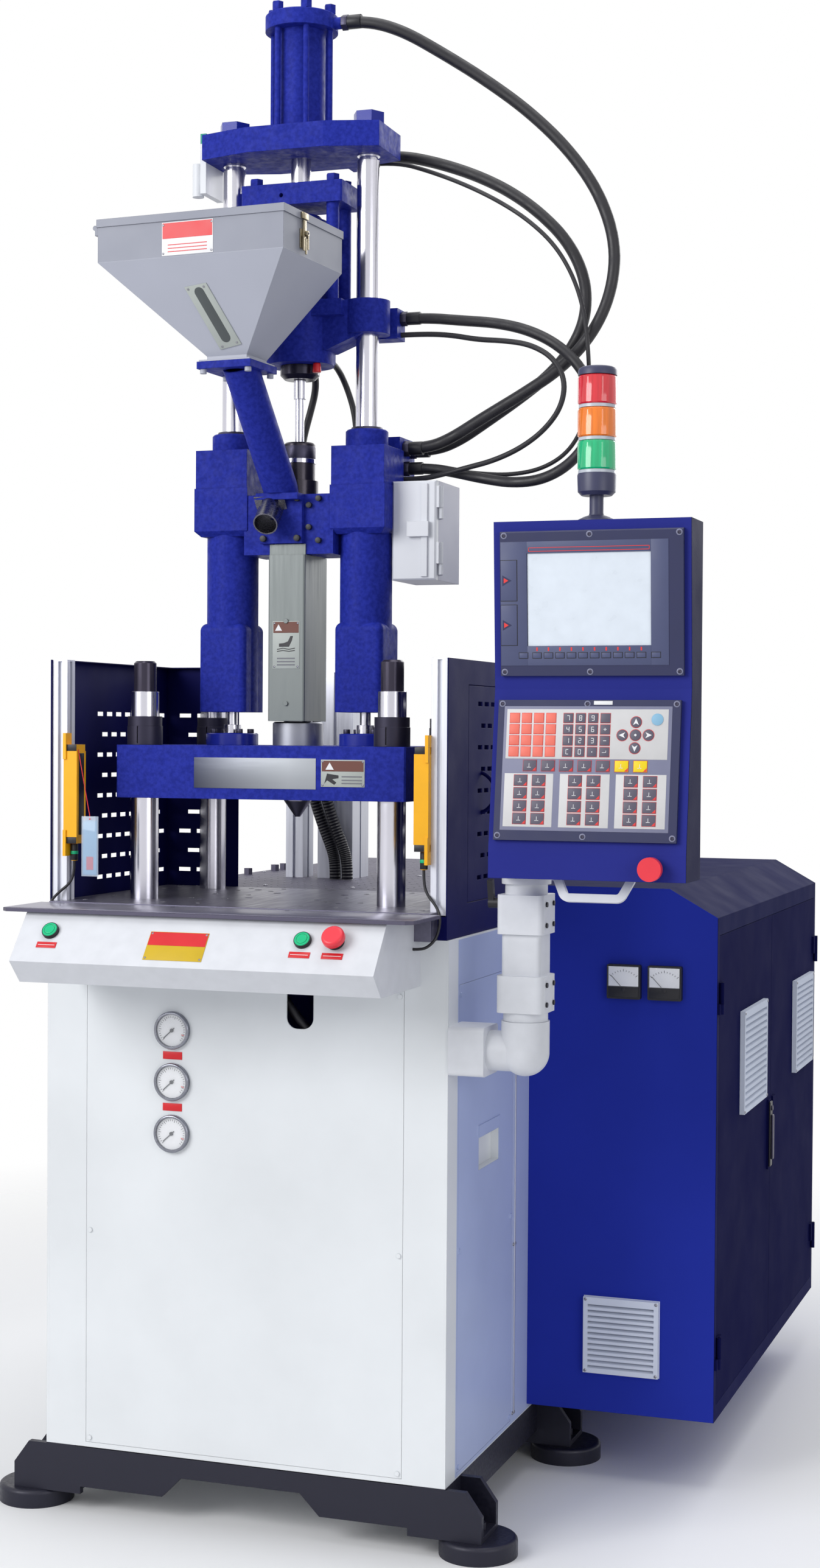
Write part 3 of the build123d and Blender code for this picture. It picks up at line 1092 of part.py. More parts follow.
for z, h, d, count in ((880, 90, 80, 9), (680, 110, 95, 7), (430, 140, 120, 4), (230, 120, 110, 5)):
    pitch = (ey1 - ey0 - 200) / count
    for i in range(count):
        y = ey0 + 100 + i * pitch
        keep("electrical_panel", block(face_x, face_x + d, y + 6, y + pitch - 6, z, z + h))

# Arm: box on the cabinet wall, elbow, then the turning column with its head
box_z = (848.0, 934.0)
elbow_z = sum(box_z) / 2
ELBOW_D = 84.0
RING_Z = 946.0
wall_box = block(half_w, half_w + 65, ARM_Y - 43, ARM_Y + 43, *box_z)
wall_box = fillet(wall_box.edges().filter_by(Axis.X), 8)
elbow = join(bar_x(ARM_Y, elbow_z, half_w + 60, ARM_X, 70), rod(ARM_X, ARM_Y, elbow_z, RING_Z, ELBOW_D),
             Pos(ARM_X, ARM_Y, elbow_z) * Sphere(ELBOW_D / 2))
keep("arm_elbow", join(wall_box, elbow))
ARM_HEAD_Z = 1098.0
FLANGE_Z = 1166.0
arm = rod(ARM_X, ARM_Y, RING_Z + CLEAR, 962, 78)
lower = fillet(block(ARM_X - 43, ARM_X + 43, ARM_Y - 43, ARM_Y + 43, 962, 1026).edges().filter_by(Axis.Z), 14)
shaft = fillet(block(ARM_X - ARM_TUBE / 2, ARM_X + ARM_TUBE / 2, ARM_Y - ARM_TUBE / 2,
                     ARM_Y + ARM_TUBE / 2, 1026, ARM_HEAD_Z).edges().filter_by(Axis.Z), 8)
head = block(ARM_X - 42, ARM_X + 42, ARM_Y - 42, ARM_Y + 42, ARM_HEAD_Z, FLANGE_Z)
head = fillet(head.edges().filter_by(Axis.Z), 10)
arm = join(arm, lower, shaft, head)
neck = join(rod(ARM_X, ARM_Y, FLANGE_Z, 1190, 74), rod(ARM_X, ARM_Y, 1184, PANEL_BOTTOM, 86))
LEVER_Y = 22.0
LEVER_Z = 1150.0
keep("swivel_arm", join(arm, neck))
lever = join(bar_x(LEVER_Y, LEVER_Z, ARM_X - 62, ARM_X - 42 - CLEAR, 18),
             Pos(ARM_X - 57, LEVER_Y, LEVER_Z) * Rot(14, 0, 0) * Pos(0, 0, 20) * Box(10, 11, 44))
keep("clamp_lever", lever)

# Control panel housing, bezels, screen and handle
PANEL_SIDE = [(-66, PANEL_TOP), (-50, 1519), (-84, 1245), (-84, PANEL_BOTTOM), (PANEL_BACK, PANEL_BOTTOM),
              (PANEL_BACK, PANEL_TOP)]
housing = profile_x(PANEL_SIDE, PANEL_X0, PANEL_X1)
UP_A = Vector(0, -66, PANEL_TOP)
UP_B = Vector(0, -50, 1519)
LOW_B = Vector(0, -84, 1245)


def tilted_plate(x0, x1, a, b, s0, s1, out0, out1):
    """Plate on a slanted face between fractions s0 and s1 of the way from a to b."""
    along = (b - a).normalized()
    length = (b - a).length
    normal = Vector(0, along.Z, -along.Y)
    origin = a + along * (length * (s0 + s1) / 2) + Vector((x0 + x1) / 2, 0, 0)
    plane = Plane(origin=origin + normal * ((out0 + out1) / 2), x_dir=(1, 0, 0), z_dir=normal)
    return plane * Box(x1 - x0, length * (s1 - s0), out1 - out0)


upper_bezel = tilted_plate(499, 814, UP_A, UP_B, 0.06, 0.92, 0, 8)
upper_bezel = chamfer(upper_bezel.edges().group_by(Axis.Y)[0], 2.5)
screen_tool = tilted_plate(546, 759, UP_A, UP_B, 0.19, 0.745, 5, 9)
upper_bezel -= screen_tool
lower_bezel = tilted_plate(496, 810, UP_B, LOW_B, 0.07, 0.93, 0, 8)
keep("panel_bezels", upper_bezel, lower_bezel)
keep("display_screen", tilted_plate(546.5, 758.5, UP_A, UP_B, 0.191, 0.744, 5, 6.5))
STOP_X = 769.0
STOP_Z = 1222.0
stop_at = Vector(STOP_X, -84, STOP_Z)
forward = Vector(0, -1, 0)
STOP_STEM_D = 10.0
STEM_DEPTH = 3.0
housing -= on_axis(stop_at, -STEM_DEPTH - BUTTON_TRAVEL - 1, 1, STOP_STEM_D, forward)
keep("panel_housing", housing)
collar = on_axis(stop_at, 0, 6, 30, forward) - on_axis(stop_at, -1, 7, STOP_STEM_D, forward)
keep("panel_bezels", collar)
stop = join(on_axis(stop_at, 6 + BUTTON_TRAVEL + 0.5, 24, MUSHROOM_D, forward),
            on_axis(stop_at, -STEM_DEPTH, 8 + BUTTON_TRAVEL, STOP_STEM_D - 2 * RUNNING, forward))
keep("panel_stop", stop)
handle_pts = [(596, -40, PANEL_BOTTOM), (612, -52, 1168), (708, -52, 1168), (724, -40, PANEL_BOTTOM)]
handle_line = FilletPolyline(*handle_pts, radius=12)
grip = sweep(Plane(origin=handle_line @ 0, z_dir=handle_line % 0) * Rectangle(14, 10), path=handle_line)
grip -= block(560, 760, -90, 0, PANEL_BOTTOM, PANEL_BOTTOM + 40)
keep("panel_handle", grip)

# Signal tower
tower = join(rod(TOWER_X, TOWER_Y, PANEL_TOP, PANEL_TOP + 6, 64), rod(TOWER_X, TOWER_Y, PANEL_TOP, 1846, 24),
             rod(TOWER_X, TOWER_Y, 1846, 1883, TOWER_D))
keep("signal_tower", tower)
tower_z = 1883.0
for i in range(3):
    keep("signal_tower", rod(TOWER_X, TOWER_Y, tower_z + 55 * i, tower_z + 55 * (i + 1), TOWER_D))
keep("signal_tower", fillet(rod(TOWER_X, TOWER_Y, tower_z + 165, tower_z + 179, TOWER_D).edges().group_by(
    Axis.Z)[-1], 5))


# Hoses and cables: straight runs joined by tangent arcs
def hose(name, points, d):
    path_points = [Vector(*p) for p in points]
    radii = []
    for a, b, c in zip(path_points, path_points[1:], path_points[2:]):
        turn = (b - a).get_angle(c - b)
        radii.append(0.45 * min((b - a).length, (c - b).length) / tan(radians(turn / 2)))
    path = FilletPolyline(*path_points, radius=radii)
    start = Plane(origin=path_points[0], z_dir=path_points[1] - path_points[0])
    solid = sweep(start * Circle(d / 2), path=path)
    straight = sum((b - a).length for a, b in zip(path_points, path_points[1:]))
    print(name, "length", round(path.length), "runs", round(straight), "radii", [round(r) for r in radii],
          "volume ratio", round(solid.volume / (pi * d * d / 4 * path.length), 4))
    keep(name, solid)
    hoses.add(name)


HOSE_D = 22.0
CYL_PORT = CAP_D / 2 + 14
CYL_PORT_Z = cyl_top + 12
hose("injection_hoses", [
    (CYL_PORT, AXIS_Y, CYL_PORT_Z), (CYL_PORT + 46, AXIS_Y, CYL_PORT_Z), (196, 272, 2753), (266, 294, 2712),
    (346, 312, 2660), (430, 324, 2596), (506, 332, 2520), (564, 335, 2435), (594, 336, 2342),
    (586, 335, 2255), (552, 334, 2182), (494, 334, 2122), (420, 335, 2078), (340, 337, 2036),
    (276, 341, 2000), (PORT_X + 47, 342, 1984), (PORT_X, 342, 1984)], HOSE_D)
hose("injection_hoses", [
    (TOP_PORT_X, 367, 2546), (TOP_PORT_X + 50, 367, 2546), (232, 367, 2528), (308, 366, 2500),
    (378, 364, 2464), (440, 362, 2418), (496, 361, 2360), (530, 360, 2290), (532, 361, 2222),
    (508, 363, 2166), (462, 366, 2116), (405, 370, 2076), (340, 374, 2036), (280, 378, 2000),
    (PORT_X + 48, 380, 1984), (PORT_X, 380, 1984)], HOSE_D)
hose("injection_hoses", [
    (PORT_X + CLEAR, 322, 2226), (PORT_X + 50, 322, 2226), (300, 314, 2216), (375, 304, 2206),
    (440, 294, 2188), (500, 286, 2156), (546, 284, 2110), (570, 286, 2052), (562, 292, 1990),
    (524, 300, 1942), (468, 310, 1914), (405, 321, 1910), (340, 332, 1922), (284, 340, 1936),
    (PORT_X + 50, 342, 1946), (PORT_X, 342, 1946)], HOSE_D - 2)
hose("signal_cables", [
    (PORT_X + CLEAR, 322, 2196), (PORT_X + 44, 322, 2196), (282, 314, 2190), (340, 300, 2176),
    (400, 282, 2168), (452, 268, 2156), (496, 262, 2130), (520, 262, 2088), (512, 266, 2040),
    (478, 274, 2000), (430, 284, 1970), (374, 296, 1950), (316, 310, 1940), (264, 320, 1930),
    (PORT_X + 42, 326, 1924), (PORT_X, 326, 1924)], 10)
hose("signal_cables", [
    (TOP_PORT_X, 354, 2530), (TOP_PORT_X + 50, 354, 2530), (225, 350, 2508), (298, 340, 2476),
    (368, 328, 2438), (430, 318, 2396), (484, 312, 2345), (520, 311, 2285), (541, 311, 2220),
    (549, 312, 2150), (551, 316, 2080), (540, 324, 2015), (508, 334, 1966), (455, 346, 1938),
    (390, 360, 1930), (322, 374, 1936), (PORT_X + 68, 386, 1948), (PORT_X, 386, 1948)], 8)
hose("motor_hoses", [
    (-22, MOTOR_PORT_Y + CLEAR, 2160), (-23, 376, 2160), (-27, 410, 2145), (-35, 432, 2115), (-48, 437, 2075),
    (-58, 430, 2030), (-61, 418, 1985), (-57, 403, 1940), (-51, 390, 1900), (-49, 384, 1870),
    (-49, 384, RAIL_TOP)], 14)
hose("motor_hoses", [
    (22, MOTOR_PORT_Y + CLEAR, 2160), (23, 374, 2160), (27, 407, 2144), (35, 428, 2112), (46, 433, 2072),
    (54, 427, 2026), (56, 416, 1982), (51, 402, 1938), (44, 389, 1900), (40, 384, 1870),
    (40, 384, RAIL_TOP)], 12)
hose("clamp_hose", [
    (HOSE_PORT_X, HOSE_PORT_Y, HOSE_PORT_Z), (HOSE_PORT_X, 100, HOSE_PORT_Z), (36.8, 51.5, 1008),
    (67.7, 25, 971), (118, 24, 909), (180, 27, 862), (250, 35, 828), (310, 62, 806), (342, 120, 792),
    (352, 200, 782), (354, 300, 776), (353, 400, 768), (349, 500, 754), (340, 600, 728), (324, 690, 690),
    (304, 752, 655), (286, 806, 632), (275, 858, 618), (275, VALVE_Y, 618)], 16)
CONDUIT_D = 24.0
for dx, dy in ((0, 0), (-30, 6)):
    hose("post_conduits", [
        (-24 + dx, 380, RAIL_Z - CLEAR), (-24 + dx, 380, 1770), (-32 + dx, 394, 1710), (-50 + dx, 436, 1658),
        (-72 + dx, 496, 1614), (-96 + dx, 566, 1568), (-120 + dx, 640, 1512), (-138 + dx, 706, 1448),
        (-150 + dx, 758 + dy, 1380), (-150 + dx, 790 + dy, 1312), (-134 + dx, 804 + dy, 1250),
        (-112 + dx, 806 + dy, 1196), (-104 + dx, 806 + dy, 1165), (-104 + dx, 806 + dy, deck_top)], CONDUIT_D)
CABLE_D = 5.0
for side in (-1, 1):
    plug_x = side * (post_in - CURTAIN / 2)
    hose("curtain_cables", [
        (plug_x, 8, 1205), (plug_x, 8, 1180), (side * 349, 3, 1161), (side * 365, -5, 1147),
        (side * 378, -14, 1130), (side * 380, -22, 1107), (side * 376, -31, 1087), (side * 364, -38, 1074),
        (side * (CONSOLE_W / 2 + 14), -41, 1070), (side * CONSOLE_W / 2, -41, 1070)], CABLE_D)

# Frame of the finished part: origin in the middle of the footprint
solid_names = [name for name in nodes if name not in hoses]
bounds = Compound([s for name in solid_names for s in nodes[name]]).bounding_box()
origin = Vector((bounds.min.X + bounds.max.X) / 2, (bounds.min.Y + bounds.max.Y) / 2, bounds.min.Z)
print("origin in the modelling frame", origin)
print("nodes", len(nodes), "size", bounds.size)

os.makedirs("parts", exist_ok=True)
for name, solids in nodes.items():
    moved = []
    for shape in solids:
        for solid in shape.solids():
            moved.append(Pos(-origin.X, -origin.Y, -origin.Z) * solid)
    export_step(Compound(children=moved) if len(moved) > 1 else moved[0], f"parts/{name}.step")
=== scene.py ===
"""Finishes, hoses and fine pieces of a vertical injection moulding machine.

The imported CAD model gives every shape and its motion. This script paints those
pieces, lays the hoses as curves and adds what is too fine for the CAD part, such
as keys, dials, plates and screws. Sizes are in millimetres and measured
from the middle of the press, the front of the base cabinet and the floor.
"""
import logging
import math
from dataclasses import dataclass
from enum import Enum
from typing import ClassVar

import bmesh
import bpy
from mathutils import Matrix, Vector


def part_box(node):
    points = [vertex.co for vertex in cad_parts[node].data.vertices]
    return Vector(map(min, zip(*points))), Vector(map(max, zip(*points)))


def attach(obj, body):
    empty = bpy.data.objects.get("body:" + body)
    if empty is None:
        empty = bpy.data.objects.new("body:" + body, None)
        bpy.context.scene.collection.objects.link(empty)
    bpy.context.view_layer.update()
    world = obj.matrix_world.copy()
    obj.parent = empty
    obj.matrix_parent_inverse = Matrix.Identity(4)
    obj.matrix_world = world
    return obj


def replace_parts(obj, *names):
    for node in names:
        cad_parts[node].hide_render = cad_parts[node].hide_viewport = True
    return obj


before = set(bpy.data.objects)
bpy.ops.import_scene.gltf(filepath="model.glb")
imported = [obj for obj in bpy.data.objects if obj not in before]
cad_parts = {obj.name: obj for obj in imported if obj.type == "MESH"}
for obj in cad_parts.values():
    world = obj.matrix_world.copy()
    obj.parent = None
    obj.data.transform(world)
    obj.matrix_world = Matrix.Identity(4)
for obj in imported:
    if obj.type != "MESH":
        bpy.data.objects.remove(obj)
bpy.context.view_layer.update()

log = logging.getLogger("machine")

MM = 0.001
X_AXIS = Vector((1, 0, 0))
Y_AXIS = Vector((0, 1, 0))
Z_AXIS = Vector((0, 0, 1))
SHARP_EDGE = math.radians(35)

# Noise in waves per metre, reliefs and softened edges in metres
SLOW_TONE = 3.5
PATCHES = 11.0
GRAIN_LINES = 160.0
PEEL_DEPTH = 0.0004
GRAIN_DEPTH = 0.0003
FINE_DEPTH = 0.0002
PAINT_EDGE = 0.0012
METAL_EDGE = 0.0008
NO_STRETCH = (1.0, 1.0, 1.0)
SOCKET_TYPES = {"RGBA": "RGBA", "FLOAT": "VALUE"}

# Places that several sub-assemblies share
AXIS_Y = 262.0
COLUMN_X = (-136.0, 136.0)
DECK_TOP = 1130.0
BED_TOP = 1132.0

cabinet_low, cabinet_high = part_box("base_cabinet")
DATUM = Vector(((cabinet_low.x + cabinet_high.x) / 2, cabinet_low.y, 0.0))
TO_ROW = Matrix.Translation(DATUM) @ Matrix.Scale(MM, 4)


class Side(Enum):
    """The way a flat face looks: its right-hand direction and its upward one."""

    FRONT = (X_AXIS, Z_AXIS)
    RIGHT = (Y_AXIS, Z_AXIS)
    LEFT = (-Y_AXIS, Z_AXIS)
    TOP = (X_AXIS, Y_AXIS)


def face(side: Side, distance: float) -> Matrix:
    """Places a flat face of the machine.

    Args:
        side: the way the face looks.
        distance: where the face stands along its own axis.

    Returns:
        The place whose local X runs to the right, Y up the face and Z out of it.
    """
    right, up = side.value
    axis = right.cross(up)
    origin = Vector([distance if abs(part) > 0.5 else 0.0 for part in axis])
    return slanted(origin, right, up)


def slanted(origin: Vector, right: Vector, up: Vector) -> Matrix:
    """Places a face that has its own origin and directions.

    Args:
        origin: the point that local zero falls on.
        right: the direction of local X.
        up: the direction of local Y.

    Returns:
        The place, with local Z out of the face.
    """
    out = right.cross(up)
    place = Matrix((right.normalized(), up.normalized(), out.normalized())).transposed().to_4x4()
    place.translation = origin
    return place


def linear(red: int, green: int, blue: int) -> tuple[float, float, float, float]:
    """Turns a colour in 0 to 255 display values into a linear shader colour."""
    parts = []
    for value in (red, green, blue):
        share = value / 255
        parts.append(share / 12.92 if share <= 0.04045 else ((share + 0.055) / 1.055) ** 2.4)
    return (*parts, 1.0)


def toned(colour: tuple, factor: float, lift: float = 0.0) -> tuple:
    """Makes a display colour darker or lighter, as a shader colour."""
    return tuple(min(1.0, part * factor + lift) for part in linear(*colour)[:3]) + (1.0,)


def show(name: str, data: bpy.types.ID) -> bpy.types.Object:
    """Puts a new object with this data into the scene."""
    made = bpy.data.objects.new(name, data)
    bpy.context.scene.collection.objects.link(made)
    return made


class Graph:
    """The node tree of one material, round its main shader."""

    def __init__(self, name: str) -> None:
        """Starts a material of that name."""
        self.material = bpy.data.materials.new(name)
        self.material.use_nodes = True
        self.tree = self.material.node_tree
        self.shader = self.tree.nodes["Principled BSDF"]
        self.place = self.add("ShaderNodeTexCoord").outputs["Object"]

    def add(self, kind: str, **settings: object) -> bpy.types.ShaderNode:
        """Adds a node of a Blender type and sets its properties."""
        node = self.tree.nodes.new(kind)
        for key, value in settings.items():
            setattr(node, key, value)
        return node

    def put(self, target: bpy.types.NodeSocket, value: object) -> None:
        """Feeds an input with a constant or with another node's output."""
        if isinstance(value, bpy.types.NodeSocket):
            self.tree.links.new(value, target)
        else:
            target.default_value = value

    def set(self, **values: object) -> None:
        """Feeds the main shader, with underscores for the spaces in socket names."""
        for key, value in values.items():
            self.put(self.shader.inputs[key.replace("_", " ")], value)

    def feed(self, kind: str, output: str | int, inputs: dict, **settings: object) -> bpy.types.NodeSocket:
        """Adds a node with its inputs.

        Args:
            kind: the node's Blender type name.
            output: the name or number of the output that is wanted.
            inputs: constants or sockets by input name or number.
            settings: property values of the node.

        Returns:
            The wanted output's socket.
        """
        node = self.add(kind, **settings)
        for key, value in inputs.items():
            self.put(node.inputs[key], value)
        return node.outputs[output]

    def math(self, operation: str, *values: object) -> bpy.types.NodeSocket:
        """Works out one number from others."""
        return self.feed("ShaderNodeMath", 0, dict(enumerate(values)), operation=operation)

    def vector(self, operation: str, *values: object) -> bpy.types.NodeSocket:
        """Works out one vector from others."""
        return self.feed("ShaderNodeVectorMath", 0, dict(enumerate(values)), operation=operation)

    def axes(self, vector: bpy.types.NodeSocket) -> bpy.types.NodeOutputs:
        """Splits a vector into its X, Y and Z sockets."""
        node = self.add("ShaderNodeSeparateXYZ")
        self.put(node.inputs["Vector"], vector)
        return node.outputs

    def noise(self, scale: float, detail: float = 3.0, stretch: tuple = NO_STRETCH) -> bpy.types.NodeSocket:
        """Makes a noise on the object's own coordinates.

        Args:
            scale: waves per metre.
            detail: octaves of finer noise.
            stretch: how the coordinates are scaled before the noise reads them.

        Returns:
            The noise value's socket.
        """
        source = self.place
        if stretch != NO_STRETCH:
            source = self.feed("ShaderNodeMapping", "Vector", {"Vector": source, "Scale": stretch})
        return self.feed("ShaderNodeTexNoise", "Fac", {"Vector": source, "Scale": scale, "Detail": detail})

    def spread(self, value: bpy.types.NodeSocket, low: float, high: float,
               start: float = 0.3, end: float = 0.7) -> bpy.types.NodeSocket:
        """Maps a value onto another range.

        Args:
            value: the socket to read.
            low: the result at the start.
            high: the result at the end.
            start: the input that gives low.
            end: the input that gives high.

        Returns:
            The mapped value's socket.
        """
        ends = {"From Min": start, "From Max": end, "To Min": low, "To Max": high}
        return self.feed("ShaderNodeMapRange", "Result", {"Value": value, **ends})

    def mix(self, share: bpy.types.NodeSocket, first: object, second: object,
            kind: str = "RGBA") -> bpy.types.NodeSocket:
        """Mixes two colours or two numbers, each a constant or a socket.

        Args:
            share: the socket that says how much of the second one shows.
            first: the result at zero.
            second: the result at one.
            kind: RGBA for colours, FLOAT for numbers.

        Returns:
            The result's socket.
        """
        node = self.add("ShaderNodeMix", data_type=kind)
        ends = [socket for socket in node.inputs if socket.type == SOCKET_TYPES[kind]][-2:]
        for socket, value in zip((node.inputs["Factor"], *ends), (share, first, second)):
            self.put(socket, value)
        return next(socket for socket in node.outputs if socket.type == SOCKET_TYPES[kind])

    def tint(self, share: bpy.types.NodeSocket, colour: tuple, dark: float, light: float,
             lift: float = 0.0) -> bpy.types.NodeSocket:
        """Varies one colour between two tones.

        Args:
            share: the socket that drives the tone.
            colour: the colour in display values.
            dark: factor of the tone at zero.
            light: factor of the tone at one.
            lift: what is added to the tone at one.

        Returns:
            The toned colour's socket.
        """
        return self.mix(share, toned(colour, dark), toned(colour, light, lift))

    def within(self, low: Vector, high: Vector) -> bpy.types.NodeSocket:
        """Gives 1 at points of the object inside a box, in metres, and 0 outside it."""
        away = self.vector("SUBTRACT", self.place, (low + high) / 2)
        x, y, z = self.axes(self.vector("DIVIDE", self.vector("ABSOLUTE", away), (high - low) / 2))
        return self.math("LESS_THAN", self.math("MAXIMUM", self.math("MAXIMUM", x, y), z), 1.0)

    def relief(self, value: bpy.types.NodeSocket, strength: float, depth: float, edge: float = 0.0) -> None:
        """Gives the surface a fine relief and softened edges.

        Args:
            value: the height socket.
            strength: how strongly the relief turns the light, 0 to 1.
            depth: the relief's depth in metres.
            edge: radius of the softened edges in metres.
        """
        inputs = {"Height": value, "Strength": strength, "Distance": depth}
        if edge > 0:
            inputs["Normal"] = self.feed("ShaderNodeBevel", "Normal", {"Radius": edge}, samples=3)
        self.set(Normal=self.feed("ShaderNodeBump", "Normal", inputs))


@dataclass(frozen=True)
class Finish:
    """What every finish can do: build its material once and hand it out."""

    name: str
    colour: tuple[int, int, int]
    _made: ClassVar[dict[str, bpy.types.Material]] = {}

    def material(self) -> bpy.types.Material:
        """The finish's material, built at its first use."""
        if self.name not in Finish._made:
            graph = Graph(self.name)
            self.build(graph)
            Finish._made[self.name] = graph.material
        return Finish._made[self.name]

    def build(self, graph: Graph) -> None:
        """Fills the material; each kind of finish has its own way."""
        raise NotImplementedError


@dataclass(frozen=True)
class Zone:
    """A box of the machine whose surfaces get another colour: the part's own colour in some boxes, painted
    shade in some and a painted reflection in one.
    """

    low: tuple[float, float, float]
    high: tuple[float, float, float]
    colour: tuple[int, int, int]
    metallic: float = 0.0


@dataclass(frozen=True)
class Paint(Finish):
    """Powder coat, enamel or plating, whose colour can differ inside given boxes."""

    zones: tuple[Zone, ...] = ()
    roughness: float = 0.42
    coat: float = 0.1
    shine: float = 0.25
    peel: float = 0.3
    peel_scale: float = 300.0
    metallic: float = 0.0

    def build(self, graph: Graph) -> None:
        """Paints slow changes of tone and orange peel, with one mask for each zone."""
        share = graph.spread(graph.noise(SLOW_TONE, 4), 0, 1)
        shade = graph.tint(share, self.colour, 0.95, 1.05)
        metal = self.metallic
        for zone in self.zones:
            inside = graph.within(TO_ROW @ Vector(zone.low), TO_ROW @ Vector(zone.high))
            shade = graph.mix(inside, shade, graph.tint(share, zone.colour, 0.95, 1.05))
            metal = graph.mix(inside, metal, zone.metallic, "FLOAT")
        graph.set(Base_Color=shade, Metallic=metal,
                  Roughness=graph.spread(graph.noise(PATCHES, 5), self.roughness - 0.05,
                                         self.roughness + 0.06),
                  Coat_Weight=self.coat, Coat_Roughness=0.2, Specular_IOR_Level=self.shine)
        graph.relief(graph.noise(self.peel_scale, 2), self.peel, PEEL_DEPTH, PAINT_EDGE)


@dataclass(frozen=True)
class Hammered(Finish):
    """Thick enamel over a casting: mottled tone and a coarser skin."""

    roughness: float = 0.5
    skin: float = 0.3
    shine: float = 0.07

    def build(self, graph: Graph) -> None:
        """Paints the mottle and the skin."""
        mottle = graph.spread(graph.noise(140.0, 4), 0, 1, 0.35, 0.65)
        graph.set(Base_Color=graph.tint(mottle, self.colour, 0.82, 1.12, 0.004),
                  Roughness=graph.spread(graph.noise(60.0, 3), self.roughness - 0.1, self.roughness + 0.12),
                  Specular_IOR_Level=self.shine)
        graph.relief(graph.noise(210.0, 4), self.skin, 0.0008, 0.0016)


@dataclass(frozen=True)
class Metal(Finish):
    """Bare or plated metal with a grain drawn along one direction."""

    roughness: float = 0.3
    grain: tuple[float, float, float] = NO_STRETCH
    scratch: float = 0.12
    metallic: float = 1.0

    def build(self, graph: Graph) -> None:
        """Draws the grain in tone, roughness and relief."""
        lines = graph.noise(GRAIN_LINES, 4, self.grain)
        graph.set(Base_Color=graph.tint(graph.spread(lines, 0, 1), self.colour, 0.86, 1.0),
                  Roughness=graph.spread(lines, self.roughness - 0.07, self.roughness + 0.1),
                  Metallic=self.metallic)
        graph.relief(lines, self.scratch, GRAIN_DEPTH, METAL_EDGE)


@dataclass(frozen=True)
class Plastic(Finish):
    """Moulded or printed plastic with a faint grain."""

    roughness: float = 0.45
    glow: float = 0.0

    def build(self, graph: Graph) -> None:
        """Gives the plastic its cloudy tone, its grain and a glow where it has one."""
        slow = graph.noise(35.0, 3)
        graph.set(Base_Color=graph.tint(graph.spread(slow, 0, 1), self.colour, 0.94, 1.0),
                  Roughness=graph.spread(slow, self.roughness - 0.04, self.roughness + 0.05),
                  Specular_IOR_Level=0.4)
        if self.glow:
            graph.set(Emission_Color=linear(*self.colour), Emission_Strength=self.glow)
        graph.relief(graph.noise(900.0, 2), 0.06, FINE_DEPTH, 0.0004)


@dataclass(frozen=True)
class Rubber(Finish):
    """Hose rubber or a corrugated conduit, ribbed along the curve where a pitch is given."""

    roughness: float = 0.35
    ribs: float = 0.0

    def build(self, graph: Graph) -> None:
        """Dusts the rubber and gives it ribs or a fine grain."""
        dust = graph.noise(45.0, 4)
        graph.set(Base_Color=graph.tint(graph.spread(dust, 0, 1, 0.45, 0.8), self.colour, 1.0, 1.5, 0.006),
                  Roughness=graph.spread(dust, self.roughness - 0.06, self.roughness + 0.15))
        if self.ribs:
            along = graph.axes(graph.add("ShaderNodeUVMap").outputs["UV"])[0]
            wave = graph.math("SINE", graph.math("MULTIPLY", along, self.ribs * 2 * math.pi))
            graph.relief(wave, 0.8, 0.0012)
        else:
            graph.relief(graph.noise(500.0, 2), 0.08, FINE_DEPTH)


@dataclass(frozen=True)
class Lens(Finish):
    """Clear coloured plastic of a lamp, with upright flutes."""

    glow: float = 0.12

    def build(self, graph: Graph) -> None:
        """Bands the lens and lets it glow faintly."""
        bands = graph.spread(graph.noise(150.0, 2, (1.0, 1.0, 0.05)), 0, 1)
        graph.set(Base_Color=graph.tint(bands, self.colour, 0.7, 1.0), Roughness=0.14,
                  Transmission_Weight=0.15, IOR=1.49, Coat_Weight=0.6, Coat_Roughness=0.05,
                  Emission_Color=linear(*self.colour), Emission_Strength=self.glow)


@dataclass(frozen=True)
class Glass(Finish):
    """Thin clear cover over a dial or a window."""

    colour: tuple[int, int, int] = (245, 248, 252)
    clear: float = 0.9

    def build(self, graph: Graph) -> None:
        """Makes the cover mostly see-through, with a faint haze."""
        graph.set(Roughness=graph.spread(graph.noise(20.0, 2), 0.03, 0.08),
                  Base_Color=linear(*self.colour), Alpha=1 - self.clear, Specular_IOR_Level=0.7)


@dataclass(frozen=True)
class ShadedPlate(Finish):
    """Brushed plate that runs from its colour to a lighter one along the machine's X."""

    light: tuple[int, int, int]
    span: tuple[float, float]
    roughness: float = 0.4

    def build(self, graph: Graph) -> None:
        """Draws the slope of tone and the brushed lines."""
        start, end = (DATUM.x + x * MM for x in self.span)
        share = graph.spread(graph.axes(graph.place)[0], 0, 1, start, end)
        lines = graph.noise(GRAIN_LINES, 4, (0.05, 1.0, 1.0))
        graph.set(Base_Color=graph.mix(share, linear(*self.colour), linear(*self.light)),
                  Roughness=graph.spread(lines, self.roughness - 0.05, self.roughness + 0.08),
                  Metallic=0.35, Specular_IOR_Level=0.3)
        graph.relief(lines, 0.06, GRAIN_DEPTH)


def capsule(x0: float, y0: float, x1: float, y1: float, width: float, steps: int = 10) -> list:
    """Outline of a slot with round ends.

    Args:
        x0: one end's centre along X.
        y0: the same end's centre along Y.
        x1: the other end's centre along X.
        y1: the other end's centre along Y.
        width: the slot's width.
        steps: steps round each end.

    Returns:
        The outline's corners in order.
    """
    turn = math.atan2(y1 - y0, x1 - x0)
    corners = []
    for x, y, start in ((x1, y1, turn - math.pi / 2), (x0, y0, turn + math.pi / 2)):
        for index in range(steps + 1):
            at = start + math.pi * index / steps
            corners.append((x + width / 2 * math.cos(at), y + width / 2 * math.sin(at)))
    return corners


